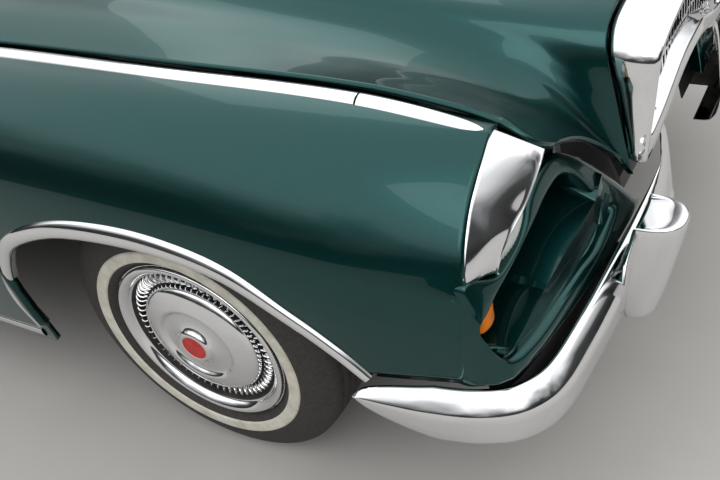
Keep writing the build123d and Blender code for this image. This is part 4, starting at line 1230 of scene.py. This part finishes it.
def pad_form(name, centre, half, tunnel):
    """A closed block with round edges, x = a c(t) c(s), y = b c(t) s(s), z = h s(t), with c and s the cosine
    and the sine raised to PAD_ROUNDNESS, and with a hollow over the tunnel on request."""
    t = np.linspace(-np.pi / 2, np.pi / 2, 61)[:, None]
    s = np.linspace(0, 2 * np.pi, 160, endpoint=False)[None, :]
    waves = (np.cos(t), np.sin(t), np.cos(s), np.sin(s))
    ct, st, cs, ss = (np.sign(v) * np.abs(v) ** PAD_ROUNDNESS for v in waves)
    grid = np.stack([half[0] * ct * cs, half[1] * ct * ss, half[2] * st + 0 * s], axis=-1)
    grid += np.asarray(centre, float)
    if tunnel:
        up = np.clip((TUNNEL_HALF - np.abs(grid[..., 0])) / TUNNEL_SLOPE, 0, 1)
        z = grid[..., 2]
        grid[..., 2] = np.where(z < TUNNEL_TOP_Z, z + (TUNNEL_TOP_Z - z) * up, z)
    o = tidy(put(name, grid, CLOTH, around=True), 180)
    even = o.modifiers.new("even", "REMESH")
    even.mode = "VOXEL"
    even.voxel_size = PAD_VOXEL * MM
    return applied(o)


def swollen(o, foot):
    """The pad blown up by cloth under pressure, each point held to SWELL_LIMIT and the foot left in place."""
    base = mesh_points(o)
    cloth = o.modifiers.new("swell", "CLOTH")
    cloth.settings.quality = 4
    cloth.settings.use_pressure = True
    cloth.settings.uniform_pressure_force = 4
    cloth.settings.effector_weights.gravity = 0
    cloth.point_cache.frame_start = 1
    cloth.point_cache.frame_end = SWELL_FRAMES
    for at in range(1, SWELL_FRAMES + 1):
        bpy.context.scene.frame_set(at)
        bpy.context.evaluated_depsgraph_get()
    applied(o)
    bpy.context.scene.frame_set(1)
    move = mesh_points(o) - base
    size = np.linalg.norm(move, axis=1)[:, None]
    move *= np.minimum(1, SWELL_LIMIT / np.maximum(size, 1e-6)) * np.clip((base[:, 2:3] - foot) / 60, 0, 1)
    o.data.vertices.foreach_set("co", ((base + move) * MM).ravel())
    o.data.update()
    return o


def dent(distance):
    """How much of a seam's depth a point takes at a distance from it."""
    return np.exp(-((distance / SEAM_HALF) ** 2))


def pleated(o, up, along, low, high, half):
    """Sewn channels across the face that looks along up, sunk by SEAM_DEPTH exp(-(d / SEAM_HALF)^2), where d
    is the distance from the nearest seam, with cross seams at low and high and one at each side."""
    co = mesh_points(o)
    normals = np.empty(len(co) * 3)
    o.data.vertices.foreach_get("normal", normals)
    normals = normals.reshape(-1, 3)
    x, v = np.abs(co[:, 0]), co[:, along]
    d = np.abs((co[:, 0] + SEAM_SPACING / 2) % SEAM_SPACING - SEAM_SPACING / 2)
    between = np.clip((v - low) / 15, 0, 1) * np.clip((high - v) / 15, 0, 1)
    inside = np.clip((half - x) / 12, 0, 1) * between
    cross = (dent(v - low) + dent(v - high) * 0.8) * (x < half)
    facing_up = np.clip((normals @ np.asarray(up, float) - 0.3) / 0.4, 0, 1)
    sink = facing_up * np.minimum(1, dent(d) * inside + cross + dent(x - half) * between) * SEAM_DEPTH
    o.data.vertices.foreach_set("co", ((co - normals * sink[:, None]) * MM).ravel())
    o.data.update()
    return o


def seat_pad(name, centre, half, is_back, low, high, fill):
    """A cushion or back: block, swelling, one subdivision and its seams."""
    o = swollen(pad_form(name, centre, half, not is_back), BACK_FOOT_Z if is_back else CUSHION_FOOT_Z)
    finer = o.modifiers.new("finer", "SUBSURF")
    finer.levels = finer.render_levels = 1
    up, along = ((0, -1, 0), 2) if is_back else ((0, 0, 1), 1)
    pleated(applied(o), up, along, low, high, half[0] - SEAM_INSET)
    o.data.shade_smooth()
    return o


# Camera, floor and light

FLOOR_HALF = 40000


def set_stage():
    """The photograph's camera, a pale floor, a soft world and two large lamps."""
    data = bpy.data.cameras.new("photo_camera")
    cam = bpy.data.objects.new("photo_camera", data)
    bpy.context.scene.collection.objects.link(cam)
    data.sensor_width = 36
    data.lens = CAMERA_LENS
    turn = Matrix((CAMERA_RIGHT, [-c for c in CAMERA_DOWN], [-c for c in CAMERA_AHEAD])).transposed()
    cam.matrix_world = Matrix.Translation(CAMERA_AT) @ turn.to_4x4()
    bpy.context.scene.camera = cam

    corners = [(x * FLOOR_HALF, y * FLOOR_HALF, 0) for x, y in ((-1, -1), (1, -1), (1, 1), (-1, 1))]
    pale = plain_material("pale_floor", (0.42, 0.405, 0.385), 0.0, 0.9, 3, 0.04)
    floor = mesh_object("floor", corners, [(0, 1, 2, 3)], pale)

    world = bpy.data.worlds.new("soft_sky")
    bpy.context.scene.world = world
    world.use_nodes = True
    tree = world.node_tree
    place = tree.nodes.new("ShaderNodeTexCoord")
    split = tree.nodes.new("ShaderNodeSeparateXYZ")
    clouds = tree.nodes.new("ShaderNodeTexNoise")
    clouds.inputs["Scale"].default_value = 2.2
    clouds.inputs["Detail"].default_value = 5.0
    lift = tree.nodes.new("ShaderNodeMath")
    lift.operation = "MULTIPLY_ADD"
    lift.inputs[1].default_value = 0.8
    height = tree.nodes.new("ShaderNodeValToRGB")
    for _ in range(3):
        height.color_ramp.elements.new(0.5)
    sky = [(0.42, 0.03), (0.60, 0.07), (0.78, 0.65), (0.92, 1.3), (1.0, 1.5)]
    for e, (at, level) in zip(height.color_ramp.elements, sky):
        e.position = at
        e.color = (level * 0.97, level * 0.99, level, 1)
    tree.links.new(place.outputs["Generated"], split.inputs[0])
    tree.links.new(place.outputs["Generated"], clouds.inputs["Vector"])
    tree.links.new(clouds.outputs["Fac"], lift.inputs[0])
    tree.links.new(split.outputs["Z"], lift.inputs[2])
    tree.links.new(lift.outputs["Value"], height.inputs["Fac"])
    seen = tree.nodes.new("ShaderNodeLightPath")
    pick = tree.nodes.new("ShaderNodeMixRGB")
    pick.inputs["Color2"].default_value = (0.74, 0.73, 0.71, 1)
    tree.links.new(seen.outputs["Is Camera Ray"], pick.inputs["Fac"])
    tree.links.new(height.outputs["Color"], pick.inputs["Color1"])
    tree.links.new(pick.outputs["Color"], tree.nodes["Background"].inputs["Color"])
    tree.nodes["Background"].inputs["Strength"].default_value = 1.0

    for at, size, power in (((-6, -7, 9), 8.0, 260), ((8, 4, 10), 8.0, 200)):
        lamp = bpy.data.lights.new("soft_lamp", "AREA")
        lamp.shape = "SQUARE"
        lamp.size = size
        lamp.energy = power
        o = bpy.data.objects.new("soft_lamp", lamp)
        o.location = at
        aim = -o.location.normalized()
        o.rotation_euler = aim.to_track_quat("-Z", "Y").to_euler()
        bpy.context.scene.collection.objects.link(o)
    bpy.context.scene.view_settings.view_transform = "Standard"


NODE_FINISH = {
    "paint": PAINT, "chrome": CHROME, "clear_glass": GLASS, "lamp_glass": LENS, "amber": AMBER,
    "red_lens": RED, "black_steel": BLACK, "engine_iron": BLACK, "cloth": CLOTH, "dash_plastic": DASH,
    "tyre": RUBBER, "wheel_steel": STEEL,
}


def finish_nodes():
    """Every solid that still shows takes its slot's finish."""
    slots = {s["node"]: s["material_slot"] for s in frame["record"]["subparts"]}
    for name, o in frame["nodes"].items():
        o.data.materials.clear()
        o.data.materials.append(NODE_FINISH[slots[name]])


def place(o, body, slot, *replaced):
    """A piece rides on a body and may stand for solids. The slot is not used."""
    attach(o, body)
    if replaced:
        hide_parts(*replaced)
    return o


def pair(make, name, body, slot, *replaced, values=()):
    """A piece on the left and its mirror on the right. A name or body with a % takes the side's word."""
    for side, word in SIDES:
        o = make(side, name % word, *values)
        place(o, body.replace("%", word), slot, *(r.replace("%", word) for r in replaced))


# Seat pads: name, centre, half size, whether it is a back, its seams' low and high ends, fill, and the solid
# that it stands for
SEAT_PADS = [
    ("front_cushion", (0, 66, 412), (622, 214, 108), False, -105, 240, 0.8, "front_seat"),
    ("front_back", (0, 367, 650), (622, 44, 212), True, 560, 800, 0.8, "front_seat"),
    ("rear_cushion", (0, 680, 412), (582, 162, 108), False, 560, 800, 0.8, "rear_seat"),
    ("rear_back", (0, 944, 716), (522, 42, 138), True, 620, 800, 0.8, "rear_seat"),
]

# Turned wheel pieces: start of the name, section, finish, steps round, points along the section, slot, and
# the start of the name of the solid that a piece stands for
WHEEL_PIECES = [
    ("whitewall_", WALL_SECTION, WHITEWALL, 120, 24, "tyre"),
    ("tyre_bead_", BEAD_SECTION, RUBBER, 120, 16, "tyre"),
    ("rim_edge_", RIM_SECTION, RUSTY_RIM, 120, 24, "wheel_steel"),
    ("cover_rim_", COVER_RIM, CHROME, 120, 40, "wheel_steel", "wheel_"),
    ("cover_ring_", COVER_TRAY, BLACK, 120, 20, "wheel_steel"),
    ("cover_dome_", COVER_DOME, CHROME, 108, 54, "wheel_steel"),
    ("cover_disc_", COVER_DISC, RED_DISC, 60, 12, "wheel_steel"),
]


set_stage()
finish_nodes()
pair(wing, "painted_wing_%s", "body", "paint", "wing_%")
pair(quarter, "painted_quarter_%s", "body", "paint", "quarter_%")
place(hood(), "hood", "paint", "hood")
place(cowl(), "body", "paint", "cowl")
pair(brow, "lamp_brow_%s", "body", "chrome", "headlamp_bezels")
pair(lamp_rim, "lamp_rim_%s", "body", "chrome")
pair(lens, "ribbed_lens_%s", "body", "lamp_glass", "headlamps")
pair(painted_face, "painted_face_%s", "body", "paint", "front_pan")
pair(tray, "face_tray_%s", "body", "paint")
# Painted shade: black sheets behind the slots above and below the painted face
pair(shade_sheet, "slot_liner_%s", "body", "black_steel", values=(215, SLOT_SHADE_ROWS))
pair(shade_sheet, "low_liner_%s", "body", "black_steel", values=(380, LOW_SHADE_ROWS))
pair(turn_lens, "amber_lens_%s", "body", "amber", "turn_lamps")
place(grille_shell(), "body", "chrome", "grille_shell")
pair(bumper_half, "chrome_front_bumper_%s", "body", "chrome", "bumper_front")
pair(guard, "bumper_guard_%s", "body", "chrome")
pair(arch_trim, "front_arch_trim_%s", "body", "chrome", values=(FRONT_ARCH, FRONT_AXLE_Y))
pair(arch_trim, "rear_arch_trim_%s", "body", "chrome", values=(REAR_ARCH, REAR_AXLE_Y))
pair(crest_strip, "wing_strip_front_%s", "body", "chrome", values=(STRIP_FRONT,))
pair(side_strip, "wing_strip_rear_%s", "body", "chrome", values=(-2088, -776))
pair(side_strip, "door_strip_%s", "door_%", "chrome", values=(-752, 392))
pair(side_strip, "quarter_strip_%s", "body", "chrome", values=(416, 2440))
pair(sill_band, "wing_sill_%s", "body", "chrome", values=(-1236, -776, 274))
pair(sill_band, "door_sill_%s", "door_%", "chrome", values=(-750, 390, 298))
pair(sill_band, "quarter_sill_%s", "body", "chrome", values=(416, 960, 276))
pair(door_handle, "door_handle_%s", "door_%", "chrome")
pair(drip_rail, "drip_rail_%s", "body", "chrome")
pair(door_glass_edge, "door_glass_edge_%s", "door_%", "chrome")
pair(wiper, "wiper_%s", "body", "chrome")
windscreen_solids = ("roof", "windscreen", "cowl")
place(window_frame("windscreen_frame", SCREEN_CORNERS, -1300, 1, *windscreen_solids), "body", "chrome")
place(window_frame("rear_window_frame", REAR_CORNERS, 1700, -1, "roof", "rear_window"), "body", "chrome")
place(boot_strip(), "boot_lid", "chrome")
place(rear_bumper(), "body", "chrome", "bumper_rear")
pair(tail_lens, "tail_lens_%s", "body", "red_lens", "tail_lamps")
pair(tail_ring, "tail_ring_%s", "body", "chrome")
place(plate_sheet("plate_frame", 168, 88, 2464, 4, CHROME), "body", "chrome")
place(plate_sheet("blank_plate", 152, 76, 2467, 3, PLATE), "body", "chrome")
for *values, stands_for in SEAT_PADS:
    place(seat_pad(*values), "body", "cloth", stands_for)
for end, axle_y in (("front", FRONT_AXLE_Y), ("rear", REAR_AXLE_Y)):
    for side, word in SIDES:
        tail = f"{end}_{word}"
        body = f"wheel_{tail}"
        place(tyre_tread(f"tyre_carcass_{tail}", axle_y, side), body, "tyre", f"tyre_{tail}")
        for start, section, finish, steps, points, slot, *solids in WHEEL_PIECES:
            piece = turned(start + tail, section, axle_y, side, finish, steps, points)
            place(piece, body, slot, *(first + tail for first in solids))
        place(vanes(f"cover_vanes_{tail}", axle_y, side), body, "wheel_steel")
